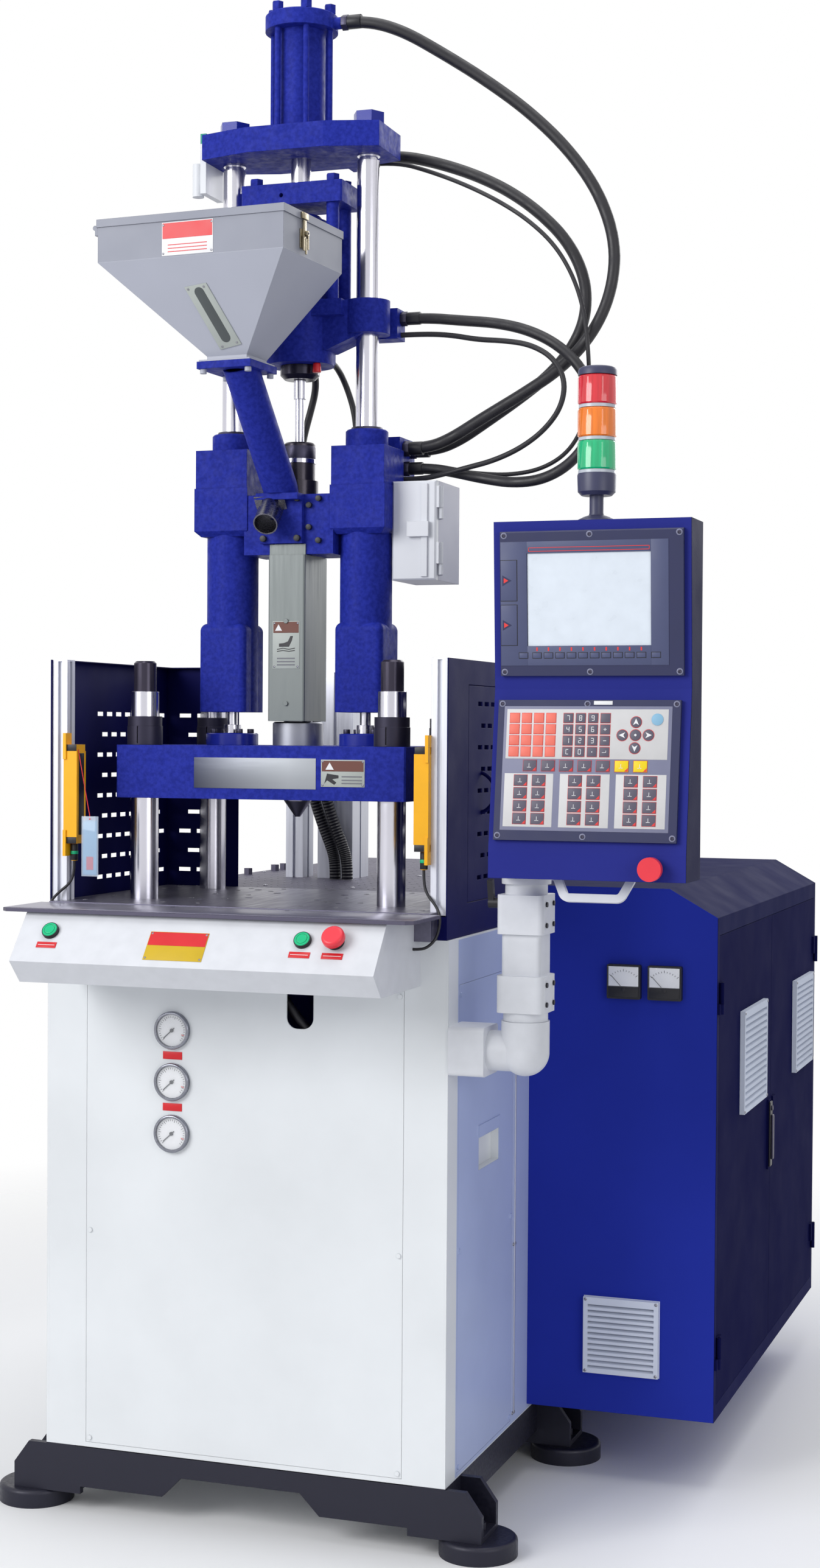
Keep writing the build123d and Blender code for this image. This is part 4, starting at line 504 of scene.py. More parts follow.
# Finishes of this machine
BLUE_ENAMEL = Hammered("blue enamel on castings", (34, 46, 150))
BLUE_SHEET = Paint("blue powder coat", (34, 46, 150), roughness=0.5, coat=0.0, peel=0.3, peel_scale=300.0,
                   shine=0.15)
# Painted shade: the navy box darkens the right side of the panel housing.
BLUE_PANEL_AND_SHADE = Paint("textured blue panel coat with painted shade", (44, 50, 136),
                   (Zone((825.4, -120.0, 1190.0), (830.0, 60.0, 1810.0), (12, 15, 54)),),
                   roughness=0.62, coat=0.0, shine=0.06, peel=0.6, peel_scale=260.0)
# Painted shade: the navy boxes darken the cabinet's right side and its roof; the pale box is the white
# louvre cover's own colour.
CABINET_BLUE_AND_SHADE = Paint("blue cabinet coat with painted shade", (38, 52, 158),
                     (Zone((759.4, 500.0, 120.0), (800.0, 1670.0, 1098.0), (18, 20, 68)),
                      Zone((504.0, 490.0, 209.0), (654.0, 508.6, 358.0), (216, 221, 234)),
                      Zone((391.0, 509.0, 1040.0), (765.0, 1680.0, 1400.0), (16, 20, 66))),
                     roughness=0.7, coat=0.0, shine=0.03)
# Painted shade: the doors on the cabinet's right side are the cabinet blue darkened to navy; the pale boxes
# are the white louvre covers' own colour.
SHADED_DOOR_BLUE = Paint("blue door coat with painted shade", (14, 16, 62),
                  (Zone((760.2, 737.0, 687.0), (775.0, 991.0, 895.0), (212, 219, 235)),
                   Zone((760.2, 1348.0, 687.0), (775.0, 1584.0, 895.0), (212, 219, 235))),
                  roughness=0.75, coat=0.0, shine=0.02)
# Painted shade: the blue guards inside the mould space are darkened to navy.
SHADED_GUARD_SHEET = Paint("blue powder coat on guards with painted shade", (10, 12, 74), roughness=0.6, coat=0.0, peel=0.3,
                   peel_scale=300.0, shine=0.08)
# Painted reflection and shade: the bluish box on the cabinet's right side stands for the blue electrical
# cabinet reflected in it, and is darker.
WHITE_SHEET_AND_REFLECTION = Paint("white powder coat with painted reflection", (226, 229, 232),
                    (Zone((389.0, 55.0, 125.0), (400.0, 1640.0, 1080.0), (178, 190, 226)),),
                    roughness=0.36, peel=0.15, peel_scale=420.0)
PALE_PLASTIC = Plastic("pale moulded plastic", (218, 220, 226), 0.4)
BED_STEEL = Metal("ground steel bed", (112, 110, 128), 0.36, (1.0, 0.06, 1.0), metallic=0.75)
DECK_STEEL = Metal("dull steel deck", (84, 81, 100), 0.5, (0.1, 1.0, 1.0), metallic=0.55)
APRON_STEEL = Metal("ground apron plate", (150, 148, 164), 0.34, (0.05, 1.0, 1.0), metallic=0.7)
CHROME = Metal("hard chromed bar", (205, 204, 214), 0.16, (1.0, 1.0, 0.03), 0.03)
TURNED_STEEL = Metal("turned steel", (150, 149, 160), 0.28, (1.0, 1.0, 9.0), 0.2)
DARK_STEEL = Metal("blackened steel", (70, 68, 86), 0.4, (1.0, 1.0, 4.0), 0.1, metallic=0.8)
FRAME_STEEL = Metal("black enamelled frame", (30, 30, 46), 0.42, metallic=0.3)
ZINC = Metal("plated screw", (150, 150, 158), 0.32)
FUNNEL_STEEL = Paint("satin hopper sheet", (176, 179, 192),
                     (Zone((-300.0, -120.0, 2284.5), (160.0, 220.0, 2400.0), (142, 145, 158)),),
                     roughness=0.48, coat=0.0, shine=0.35, peel=0.05)
COVER_STEEL = Metal("satin barrel cover", (112, 118, 118), 0.42, (1.0, 1.0, 0.05), 0.08, metallic=0.4)
PLATE_STEEL = Plastic("satin plate", (176, 182, 178), 0.45)
BRAND_PLATE = ShadedPlate("brushed front plate", (62, 66, 84), (166, 170, 176), (-126.0, 60.0))
COLLAR_STEEL = Paint("blackened collars", (50, 48, 64),
                     (Zone((-60.0, 200.0, 1400.0), (60.0, 325.0, 1466.0), (150, 152, 160), 0.9),),
                     roughness=0.4, coat=0.0, peel=0.08, metallic=0.5)
TIE_CHROME = Paint("chromed tie bar", (205, 204, 214),
                   (Zone((-300.0, 60.0, 1518.0), (300.0, 460.0, 1600.0), (60, 56, 70), 0.5),),
                   roughness=0.2, coat=0.0, peel=0.03, metallic=1.0)
ROD_CHROME = Paint("chromed seat rod", (205, 204, 214),
                   (Zone((-200.0, 190.0, 1418.0), (200.0, 330.0, 1442.5), (34, 46, 150)),),
                   roughness=0.2, coat=0.0, peel=0.03, metallic=1.0)
SCREW_STEEL = Paint("screw shank", (44, 42, 56),
                    (Zone((-40.0, 200.0, 1200.0), (40.0, 320.0, 2109.0), (198, 198, 208), 1.0),),
                    roughness=0.24, coat=0.0, peel=0.03, metallic=0.5)
COLUMN_CHROME = Paint("chromed column", (205, 204, 214),
                      (Zone((-260.0, 160.0, 2570.5), (260.0, 360.0, 2700.0), (34, 46, 150)),),
                      roughness=0.18, coat=0.0, peel=0.03, metallic=1.0)
SPOUT_STEEL = Metal("dark spout steel", (132, 132, 138), 0.26, (1.0, 1.0, 5.0), 0.1)
BARREL_STEEL = Paint("barrel steel", (150, 149, 160),
                     (Zone((-60.0, 190.0, 1888.0), (60.0, 330.0, 2000.0), (66, 62, 70), 0.6),),
                     roughness=0.3, coat=0.0, peel=0.08, metallic=1.0)
# Painted shade: the grey box darkens the lid that faces right; the second box makes the lower part of the
# box darker.
BOX_PLASTIC_AND_SHADE = Paint("pale box plastic with painted shade", (218, 220, 226),
                    (Zone((277.0, 262.5, 1600.0), (295.0, 480.0, 2000.0), (146, 148, 170)),
                     Zone((100.0, 240.0, 1600.0), (290.0, 480.0, 1728.0), (120, 124, 150))),
                    roughness=0.45, peel=0.05)
LATCH_STEEL = Metal("worn latch plating", (158, 148, 126), 0.3)
GAUGE_RIM = Metal("gauge rim", (140, 142, 152), 0.22)
TRANSDUCER = Paint("transducer housing", (222, 224, 228),
                   (Zone((-260.0, 160.0, 2560.0), (-150.0, 340.0, 2600.0), (0, 140, 118)),))
ALUMINIUM = Metal("anodised aluminium", (214, 216, 226), 0.38, (1.0, 1.0, 0.04), 0.06, metallic=0.55)
BLACK_PLASTIC = Plastic("black plastic", (22, 22, 30), 0.42)
SLATE_PLASTIC = Plastic("slate bezel plastic", (36, 40, 78), 0.5)
DISPLAY_FILM = Plastic("slate display film", (76, 82, 116), 0.5)
GREY_FILM = Plastic("grey membrane film", (128, 130, 156), 0.5)
BROWN_PRINT = Plastic("brown print", (106, 62, 52), 0.5)
GREY_PRINT = Plastic("grey print", (120, 122, 128), 0.5)
OLIVE_GLASS = Plastic("dusty sight glass", (78, 84, 86), 0.16)
OLIVE_PRINT = Plastic("olive yellow print", (206, 172, 20), 0.5)
PALE_FILM = Plastic("pale membrane film", (214, 213, 214), 0.5)
DARK_KEY = Plastic("dark key", (92, 88, 104), 0.5)
RED_KEY = Plastic("coral key", (240, 120, 104), 0.5)
YELLOW_KEY = Plastic("yellow key", (244, 214, 20), 0.5)
BLUE_KEY = Plastic("pale blue key", (138, 186, 216), 0.5)
WHITE_PRINT = Plastic("white print", (240, 240, 242), 0.5)
RED_PRINT = Plastic("red print", (232, 62, 60), 0.5)
RED_LACQUER = Plastic("red lacquer", (214, 36, 44), 0.35)
SCREEN_GLASS = Plastic("pale display", (222, 230, 240), 0.3, glow=0.05)
CURTAIN_YELLOW = Plastic("light curtain yellow", (252, 182, 4), 0.42)
STOP_RED = Plastic("stop button red", (238, 60, 74), 0.3)
START_GREEN = Plastic("start button green", (10, 190, 130), 0.3)
HOSE_RUBBER = Rubber("black hose rubber", (12, 11, 20), 0.46)
CABLE_RUBBER = Rubber("black cable jacket", (12, 11, 20), 0.5)
CONDUIT = Rubber("corrugated conduit", (20, 20, 30), 0.4, 110.0)
CLEAR_COVER = Glass("clear cover")
CLEAR_SLEEVE = Glass("clear sleeve", (210, 225, 245), 0.6)


def coat(finish: Finish, *nodes: str) -> None:
    """Paints the named CAD pieces with one finish."""
    for name in nodes:
        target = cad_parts[name]
        if not target.material_slots:
            target.data.materials.append(finish.material())
        for slot in target.material_slots:
            slot.material = finish.material()


class Piece:
    """One fine piece, joined from bevelled solids that are each placed on a face."""

    def __init__(self, name: str, *finishes: Finish) -> None:
        """Starts an empty piece with the finishes its surfaces can have."""
        self.name = name
        self.finishes = finishes
        self.whole = bmesh.new()
        self.slot = 0
        self.place = Matrix.Identity(4)

    def on(self, place: Matrix) -> "Piece":
        """Sets the face that the next solids stand on."""
        self.place = place
        return self

    def use(self, finish: Finish) -> "Piece":
        """Sets the finish of the next solids."""
        self.slot = self.finishes.index(finish)
        return self

    def _take(self, part: bmesh.types.BMesh, bevel: float, segments: int = 2) -> None:
        """Bevels a solid, places it, joins it to the piece and frees it."""
        if bevel > 0:
            sharp = [e for e in part.edges if e.is_manifold and e.calc_face_angle(0) > SHARP_EDGE]
            bmesh.ops.bevel(part, geom=sharp, offset=bevel, offset_type="OFFSET", affect="EDGES",
                            segments=segments, profile=0.5, material=-1, clamp_overlap=True)
        for each in part.faces:
            each.material_index = self.slot
            each.smooth = True
        part.transform(self.place)
        data = bpy.data.meshes.new("part")
        part.to_mesh(data)
        self.whole.from_mesh(data)
        bpy.data.meshes.remove(data)
        part.free()

    def box(self, x0: float, x1: float, y0: float, y1: float, z0: float, z1: float,
            bevel: float = 0.4, segments: int = 2) -> "Piece":
        """Adds a box between two corners of the local frame.

        Args:
            x0: low X.
            x1: high X.
            y0: low Y.
            y1: high Y.
            z0: low Z.
            z1: high Z.
            bevel: width of the bevels.
            segments: steps across a bevel.

        Returns:
            The piece itself.
        """
        part = bmesh.new()
        size = Matrix.Diagonal((x1 - x0, y1 - y0, z1 - z0, 1))
        centre = Matrix.Translation(((x0 + x1) / 2, (y0 + y1) / 2, (z0 + z1) / 2))
        bmesh.ops.create_cube(part, size=1.0, matrix=centre @ size)
        self._take(part, bevel, segments)
        return self

    def disc(self, x: float, y: float, z0: float, z1: float, d: float, top_d: float | None = None,
             bevel: float = 0.4, sides: int = 32) -> "Piece":
        """Adds a round bar or cone that stands on the face.

        Args:
            x: its centre along X.
            y: its centre along Y.
            z0: its foot.
            z1: its top.
            d: diameter at the foot.
            top_d: diameter at the top, if it differs.
            bevel: width of the bevels.
            sides: sides of the round.

        Returns:
            The piece itself.
        """
        part = bmesh.new()
        bmesh.ops.create_cone(part, cap_ends=True, segments=sides, radius1=d / 2,
                              radius2=(top_d if top_d is not None else d) / 2, depth=z1 - z0,
                              matrix=Matrix.Translation((x, y, (z0 + z1) / 2)))
        self._take(part, bevel)
        return self

    def prism(self, outline: list[tuple[float, float]], z0: float, z1: float, bevel: float = 0.3) -> "Piece":
        """Adds a flat outline pushed out of the face.

        Args:
            outline: its corners in the face, in order.
            z0: its foot.
            z1: its top.
            bevel: width of the bevels.

        Returns:
            The piece itself.
        """
        part = bmesh.new()
        corners = [part.verts.new((x, y, z0)) for x, y in outline]
        floor = part.faces.new(corners)
        pushed = bmesh.ops.extrude_face_region(part, geom=[floor])
        moved = [item for item in pushed["geom"] if isinstance(item, bmesh.types.BMVert)]
        bmesh.ops.translate(part, vec=(0, 0, z1 - z0), verts=moved)
        bmesh.ops.recalc_face_normals(part, faces=part.faces)
        self._take(part, bevel)
        return self

    def turned(self, profile: list[tuple[float, float]], x: float = 0.0, y: float = 0.0,
               steps: int = 48) -> "Piece":
        """Adds a solid turned about an axis that stands on the face.

        Args:
            profile: radius and height of each corner, from the foot to the top.
            x: the axis along X.
            y: the axis along Y.
            steps: steps of the turn.

        Returns:
            The piece itself.
        """
        part = bmesh.new()
        corners = [part.verts.new((r, 0, z)) for r, z in profile]
        edges = [part.edges.new(pair) for pair in zip(corners, corners[1:])]
        bmesh.ops.spin(part, geom=corners + edges, cent=(0, 0, 0), axis=(0, 0, 1),
                       angle=2 * math.pi, steps=steps, use_merge=True)
        bmesh.ops.remove_doubles(part, verts=part.verts, dist=0.001)
        bmesh.ops.recalc_face_normals(part, faces=part.faces)
        part.transform(Matrix.Translation((x, y, 0)))
        self._take(part, 0)
        return self

    def ring(self, profile: list[tuple[float, float]], x: float = 0.0, y: float = 0.0,
             steps: int = 48) -> "Piece":
        """Adds a turned ring, whose profile closes on its first corner."""
        return self.turned([*profile, profile[0]], x, y, steps)

    def screw(self, x: float, y: float, z: float, d: float = 9.0) -> "Piece":
        """Adds a button-head screw with its hexagon socket.

        Args:
            x: its centre along X.
            y: its centre along Y.
            z: the surface that it is driven into.
            d: its head's diameter.

        Returns:
            The piece itself.
        """
        rise = d * 0.3
        self.turned([(0, z - 0.2), (d / 2, z - 0.2), (d / 2, z + rise * 0.35), (d * 0.36, z + rise * 0.85),
                     (d * 0.24, z + rise), (d * 0.22, z + rise * 0.5), (0, z + rise * 0.5)], x, y, 20)
        return self

    def screws(self, xs: tuple, ys: tuple, z: float, d: float) -> "Piece":
        """Adds a screw wherever a column and a row cross."""
        for x in xs:
            for y in ys:
                self.screw(x, y, z, d)
        return self

    def done(self, body: str) -> bpy.types.Object:
        """Finishes the piece and hangs it on the named CAD body."""
        self.whole.transform(TO_ROW)
        for edge in self.whole.edges:
            edge.smooth = not (edge.is_manifold and edge.calc_face_angle(0) > SHARP_EDGE)
        label = self.name.replace(" ", "_")
        data = bpy.data.meshes.new(label)
        self.whole.to_mesh(data)
        self.whole.free()
        for finish in self.finishes:
            data.materials.append(finish.material())
        made = show(label, data)
        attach(made, body)
        log.info("%s: %d faces on %s", self.name, len(data.polygons), body)
        return made


@dataclass(frozen=True)
class Studio:
    """Camera, soft light, white surroundings and a pale floor that fades away."""

    eye: tuple[float, float, float] = (1624.0, -3767.0, 1439.0)
    lens: float = 52.45
    yaw: float = 19.14
    pitch: float = -1.21
    roll: float = 0.37
    sensor_width: float = 36.0
    floor_reach: float = 3.4
    floor_clear: float = 1.5
    sky_strength: float = 0.42
    lamp_aim: tuple[float, float, float] = (0.1, 0.0, 1.3)

    def build(self) -> None:
        """Builds everything round the machine."""
        self.place_camera()
        self.light_world()
        self.hang_lamps()
        self.lay_floor()

    def place_camera(self) -> None:
        """Puts the camera where the picture was taken from."""
        data = bpy.data.cameras.new("camera")
        data.lens = self.lens
        data.sensor_width = self.sensor_width
        data.sensor_fit = "AUTO"
        data.clip_end = 60.0
        camera = show("camera", data)
        turn = (Matrix.Rotation(math.radians(self.yaw), 4, "Z")
                @ Matrix.Rotation(math.radians(90 + self.pitch), 4, "X")
                @ Matrix.Rotation(math.radians(self.roll), 4, "Z"))
        camera.matrix_world = Matrix.Translation(TO_ROW @ Vector(self.eye)) @ turn
        bpy.context.scene.camera = camera

    def light_world(self) -> None:
        """Sets white surroundings for the eye and softer ones for the light."""
        world = bpy.data.worlds.new("surroundings")
        bpy.context.scene.world = world
        world.use_nodes = True
        tree = world.node_tree
        shown = tree.nodes["Background"]
        soft = tree.nodes.new("ShaderNodeBackground")
        for node, colour, strength in ((shown, (1, 1, 1, 1), 1.0),
                                       (soft, (0.93, 0.96, 1.0, 1), self.sky_strength)):
            node.inputs["Color"].default_value = colour
            node.inputs["Strength"].default_value = strength
        rays = tree.nodes.new("ShaderNodeLightPath").outputs
        seen, clear = (tree.nodes.new("ShaderNodeMath") for _ in range(2))
        seen.operation = clear.operation = "MAXIMUM"
        mix = tree.nodes.new("ShaderNodeMixShader")
        for source, target in ((rays["Is Camera Ray"], seen.inputs[0]),
                               (rays["Is Transmission Ray"], seen.inputs[1]),
                               (seen.outputs[0], clear.inputs[0]),
                               (rays["Is Glossy Ray"], clear.inputs[1]),
                               (clear.outputs[0], mix.inputs["Fac"]),
                               (soft.outputs[0], mix.inputs[1]),
                               (shown.outputs[0], mix.inputs[2]),
                               (mix.outputs[0], tree.nodes["World Output"].inputs["Surface"])):
            tree.links.new(source, target)

    def hang_lamps(self) -> None:
        """Hangs four large soft lamps round the machine."""
        for name, spot, size, power in (("key lamp", (-2.6, -4.4, 3.2), 2.8, 165.0),
                                        ("fill lamp", (4.2, -3.4, 2.2), 2.4, 42.0),
                                        ("top lamp", (0.2, -0.6, 5.2), 3.0, 70.0),
                                        ("rear lamp", (1.5, 4.5, 3.5), 2.6, 80.0)):
            data = bpy.data.lights.new(name, "AREA")
            data.shape = "SQUARE"
            data.size = size
            data.energy = power
            lamp = show(name, data)
            lamp.location = spot
            aim = Vector(self.lamp_aim) - Vector(spot)
            lamp.rotation_euler = aim.to_track_quat("-Z", "Y").to_euler()

    def lay_floor(self) -> None:
        """Lays a round pale floor that fades into the surroundings."""
        disc = bmesh.new()
        bmesh.ops.create_circle(disc, cap_ends=True, segments=96, radius=self.floor_reach)
        data = bpy.data.meshes.new("floor")
        disc.to_mesh(data)
        disc.free()
        graph = Graph("pale floor")
        reach = graph.feed("ShaderNodeVectorMath", "Value", {0: graph.place}, operation="LENGTH")
        graph.set(Base_Color=(0.9, 0.9, 0.91, 1), Roughness=0.7,
                  Alpha=graph.spread(reach, 1.0, 0.0, self.floor_clear, self.floor_reach - 0.2))
        data.materials.append(graph.material)
        floor = show("floor", data)


@dataclass(frozen=True)
class Hose:
    """One free hose, cable or conduit and its route."""

    name: str
    node: str
    body: str
    diameter: float
    length: float
    finish: Finish
    route: tuple[tuple[float, float, float], ...]

    def lay(self) -> bpy.types.Object:
        """Lays the hose as one curve."""
        label = self.name.replace(" ", "_")
        data = bpy.data.curves.new(label, "CURVE")
        data.dimensions = "3D"
        data.bevel_depth = self.diameter * MM / 2
        data.bevel_resolution = 4
        data.resolution_u = 6
        data.use_fill_caps = True
        spline = data.splines.new("NURBS")
        spline.points.add(len(self.route) - 1)
        for point, place in zip(spline.points, self.route):
            point.co = (*(TO_ROW @ Vector(place)), 1.0)
        spline.order_u = 3
        spline.use_endpoint_u = True
        data.materials.append(self.finish.material())
        hose = show(label, data)
        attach(hose, self.body)
        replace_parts(hose, self.node)
        log.info("%s: %.0f mm long, %.0f mm thick", self.name, self.length, self.diameter)
        return hose


@dataclass(frozen=True)
class HoseSet:
    """Every hose, cable and conduit of the machine."""

    curtain_x: float = 340.5
    conduit_step: tuple[float, float] = (-30.0, 6.0)

    def build(self) -> None:
        """Lays all the hoses."""
        for hose in self.unit_hoses() + self.base_hoses():
            hose.lay()

    def unit_hoses(self) -> list[Hose]:
        """The hoses and cables that travel with the injection unit."""
        top = ((82.5, 262, 2774), (128.5, 262, 2774), (196, 272, 2753), (266, 294, 2712), (346, 312, 2660),
               (430, 324, 2596), (506, 332, 2520), (564, 335, 2435), (594, 336, 2342), (586, 335, 2255),
               (552, 334, 2182), (494, 334, 2122), (420, 335, 2078), (340, 337, 2036), (276, 341, 2000),
               (229, 342, 1984), (182, 342, 1984))
        rear = ((110, 367, 2546), (160, 367, 2546), (232, 367, 2528), (308, 366, 2500), (378, 364, 2464),
                (440, 362, 2418), (496, 361, 2360), (530, 360, 2290), (532, 361, 2222), (508, 363, 2166),
                (462, 366, 2116), (405, 370, 2076), (340, 374, 2036), (280, 378, 2000), (230, 380, 1984),
                (182, 380, 1984))
        cross = ((182.3, 322, 2226), (232, 322, 2226), (300, 314, 2216), (375, 304, 2206), (440, 294, 2188),
                 (500, 286, 2156), (546, 284, 2110), (570, 286, 2052), (562, 292, 1990), (524, 300, 1942),
                 (468, 310, 1914), (405, 321, 1910), (340, 332, 1922), (284, 340, 1936), (232, 342, 1946),
                 (182, 342, 1946))
        head_signal = ((182.3, 322, 2196), (226, 322, 2196), (282, 314, 2190), (340, 300, 2176),
                       (400, 282, 2168), (452, 268, 2156), (496, 262, 2130), (520, 262, 2088),
                       (512, 266, 2040), (478, 274, 2000), (430, 284, 1970), (374, 296, 1950),
                       (316, 310, 1940), (264, 320, 1930), (224, 326, 1924), (182, 326, 1924))
        top_signal = ((110, 354, 2530), (160, 354, 2530), (225, 350, 2508), (298, 340, 2476),
                      (368, 328, 2438), (430, 318, 2396), (484, 312, 2345), (520, 311, 2285),
                      (541, 311, 2220), (549, 312, 2150), (551, 316, 2080), (540, 324, 2015),
                      (508, 334, 1966), (455, 346, 1938), (390, 360, 1930), (322, 374, 1936),
                      (250, 386, 1948), (182, 386, 1948))
        motor_left = ((-22, 335.3, 2160), (-23, 376, 2160), (-27, 410, 2145), (-35, 432, 2115),
                      (-48, 437, 2075), (-58, 430, 2030), (-61, 418, 1985), (-57, 403, 1940),
                      (-51, 390, 1900), (-49, 384, 1870), (-49, 384, 1845))
        motor_right = ((22, 335.3, 2160), (23, 374, 2160), (27, 407, 2144), (35, 428, 2112), (46, 433, 2072),
                       (54, 427, 2026), (56, 416, 1982), (51, 402, 1938), (44, 389, 1900), (40, 384, 1870),
                       (40, 384, 1845))
        unit = "injection_unit"
        return [
            Hose("upper injection hose", "injection_hoses", unit, 22, 1306, HOSE_RUBBER, top),
            Hose("lower injection hose", "injection_hoses", unit, 22, 1029, HOSE_RUBBER, rear),
            Hose("crosshead hose", "injection_hoses", unit, 20, 934, HOSE_RUBBER, cross),
            Hose("crosshead signal cable", "signal_cables", unit, 10, 794, CABLE_RUBBER, head_signal),
            Hose("top plate signal cable", "signal_cables", unit, 8, 1169, CABLE_RUBBER, top_signal),
            Hose("left motor hose", "motor_hoses", unit, 14, 395, HOSE_RUBBER, motor_left),
            Hose("right motor hose", "motor_hoses", unit, 12, 389, HOSE_RUBBER, motor_right),
        ]

    def base_hoses(self) -> list[Hose]:
        """The hoses and cables that stay with the base."""
        clamp = ((19, 150, 1030), (19, 100, 1030), (36.8, 51.5, 1008), (67.7, 25, 971), (118, 24, 909),
                 (180, 27, 862), (250, 35, 828), (310, 62, 806), (342, 120, 792), (352, 200, 782),
                 (354, 300, 776), (353, 400, 768), (349, 500, 754), (340, 600, 728), (324, 690, 690),
                 (304, 752, 655), (286, 806, 632), (275, 858, 618), (275, 905, 618))
        hoses = [Hose("clamp supply hose", "clamp_hose", "base", 16, 1349, HOSE_RUBBER, clamp)]
        for name, length, step, back in (("right post conduit", 880, 0.0, 0.0),
                                         ("left post conduit", 883, *self.conduit_step)):
            route = ((-24, 380, 1814.7), (-24, 380, 1770), (-32, 394, 1710), (-50, 436, 1658),
                     (-72, 496, 1614), (-96, 566, 1568), (-120, 640, 1512), (-138, 706, 1448),
                     (-150, 758 + back, 1380), (-150, 790 + back, 1312), (-134, 804 + back, 1250),
                     (-112, 806 + back, 1196), (-104, 806 + back, 1165), (-104, 806 + back, 1130))
            moved = tuple((x + step, y, z) for x, y, z in route)
            hoses.append(Hose(name, "post_conduits", "base", 24, length, CONDUIT, moved))
        for name, side in (("left curtain cable", -1), ("right curtain cable", 1)):
            route = tuple((side * x, y, z) for x, y, z in (
                (self.curtain_x, 8, 1205), (self.curtain_x, 8, 1180), (349, 3, 1161), (365, -5, 1147),
                (378, -14, 1130), (380, -22, 1107), (376, -31, 1087), (364, -38, 1074), (352, -41, 1070),
                (338, -41, 1070)))
            hoses.append(Hose(name, "curtain_cables", "base", 5, 181, CABLE_RUBBER, route))
        return hoses


@dataclass(frozen=True)
class BaseUnit:
    """Base cabinet, frame, feet, gauges and deck."""

    half_width: float = 390.0
    gauge_x: float = -136.0
    gauge_heights: tuple[float, ...] = (902.0, 808.0, 714.0)
    dial_d: float = 58.0
    tag_w: float = 38.0
    tag_h: float = 14.0
    stud_rows: int = 32
    stud_columns: int = 24
    stud_start: tuple[float, float] = (-345.0, 495.0)
    stud_pitch: tuple[float, float] = (30.0, 36.0)
    ticks: int = 28

    def gauge(self, height: float, y: float) -> Matrix:
        """The place of a gauge's face at that height and depth."""
        return slanted(Vector((self.gauge_x, y, height)), X_AXIS, Z_AXIS)

    def build(self) -> None:
        """Paints the base and adds its fine pieces."""
        coat(FRAME_STEEL, "base_frame", "leveling_feet")
        coat(WHITE_SHEET_AND_REFLECTION, "base_cabinet", "access_panels")
        coat(BED_STEEL, "table_bed")
        coat(DECK_STEEL, "deck_plates")
        coat(BLUE_SHEET, "hydraulic_unit")
        coat(GAUGE_RIM, "pressure_gauges")
        self.dials()
        self.tags()
        self.cable_strip()
        self.apron_skin()
        self.deck_screws()

    def dials(self) -> None:
        """White dials with ticks, a pointer and a clear cover in each gauge."""
        piece = Piece("gauge dials", WHITE_PRINT, BLACK_PLASTIC, RED_PRINT)
        for height in self.gauge_heights:
            spot = self.gauge(height, -3)
            piece.on(spot).use(WHITE_PRINT).disc(0, 0, 0, 0.8, self.dial_d, bevel=0)
            piece.use(BLACK_PLASTIC).disc(0, 0, 0.8, 3.2, 7.0)
            for index in range(self.ticks):
                turn = math.radians(225 - index * 10)
                reach = self.dial_d / 2 - 3
                depth = 5.0 if index % 5 == 0 else 3.0
                tick = spot @ Matrix.Rotation(turn, 4, "Z")
                piece.on(tick).box(reach - depth, reach, -0.4, 0.4, 0.7, 1.1, 0)
            piece.on(spot @ Matrix.Rotation(math.radians(222), 4, "Z"))
            piece.box(-7, self.dial_d / 2 - 7, -0.8, 0.8, 1.6, 2.4, 0.2)
            piece.use(RED_PRINT).on(spot @ Matrix.Rotation(math.radians(-20), 4, "Z"))
            piece.box(self.dial_d / 2 - 9, self.dial_d / 2 - 3, -0.7, 0.7, 0.7, 1.2, 0)
        piece.done("base")
        cover = Piece("gauge covers", CLEAR_COVER)
        for height in self.gauge_heights:
            cover.on(self.gauge(height, -3)).disc(0, 0, 3.6, 4.6, self.dial_d, bevel=0)
        cover.done("base")

    def tags(self) -> None:
        """Bare red tags below the gauges."""
        piece = Piece("gauge tags", RED_LACQUER)
        for height in self.gauge_heights[:2]:
            piece.on(self.gauge(height - 46, 0))
            piece.box(-self.tag_w / 2, self.tag_w / 2, -self.tag_h / 2, self.tag_h / 2, 0, 1.2, 0.4)
        piece.done("base")

    def cable_strip(self) -> None:
        """A bright strip up the right side of the base cabinet, and its screws."""
        piece = Piece("cabinet side strip", ALUMINIUM, ZINC)
        piece.on(face(Side.RIGHT, self.half_width)).box(411, 416, 143, 1000, 0, 2.5, 0.5)
        piece.use(ZINC)
        for height in (143, 468, 799):
            for y in (408, 420):
                piece.screw(y, height, 0, 7)
        piece.done("base")

    def apron_skin(self) -> None:
        """A bright ground skin on the apron plate, with a line of countersunk screws."""
        piece = Piece("apron skin", APRON_STEEL, DARK_STEEL)
        piece.on(face(Side.TOP, DECK_TOP)).box(-384, 384, -175, -38, 0, 0.6, 0.2)
        piece.use(DARK_STEEL)
        for x in (-330, -110, 110, 330):
            piece.disc(x, -58, 0.6, 0.9, 9, bevel=0)
        piece.done("base")

    def deck_screws(self) -> None:
        """Screws and small studs on the rear deck, and the rims of holes in the bed."""
        piece = Piece("deck screws", ZINC)
        piece.on(face(Side.TOP, DECK_TOP))
        piece.screws((-370, -190, 0, 190, 370), (560, 980, 1400, 1630), 0, 10)
        for row in range(self.stud_rows):
            for column in range(self.stud_columns):
                piece.disc(self.stud_start[0] + column * self.stud_pitch[0],
                           self.stud_start[1] + row * self.stud_pitch[1], 0, 0.6, 5, bevel=0, sides=8)
        piece.done("base")
        marks = Piece("bed hole rims", ZINC, BLACK_PLASTIC)
        marks.on(face(Side.TOP, BED_TOP))
        for x in (-330, -170, -100, 100, 170, 330):
            for y in (30, 150, 262, 374, 440):
                marks.use(ZINC).ring([(4.2, 0), (6.0, 0), (5.6, 0.5), (4.2, 0.5)], x, y, 20)
                marks.use(BLACK_PLASTIC).disc(x, y, 0, 0.3, 8.4, bevel=0, sides=20)
        marks.done("base")


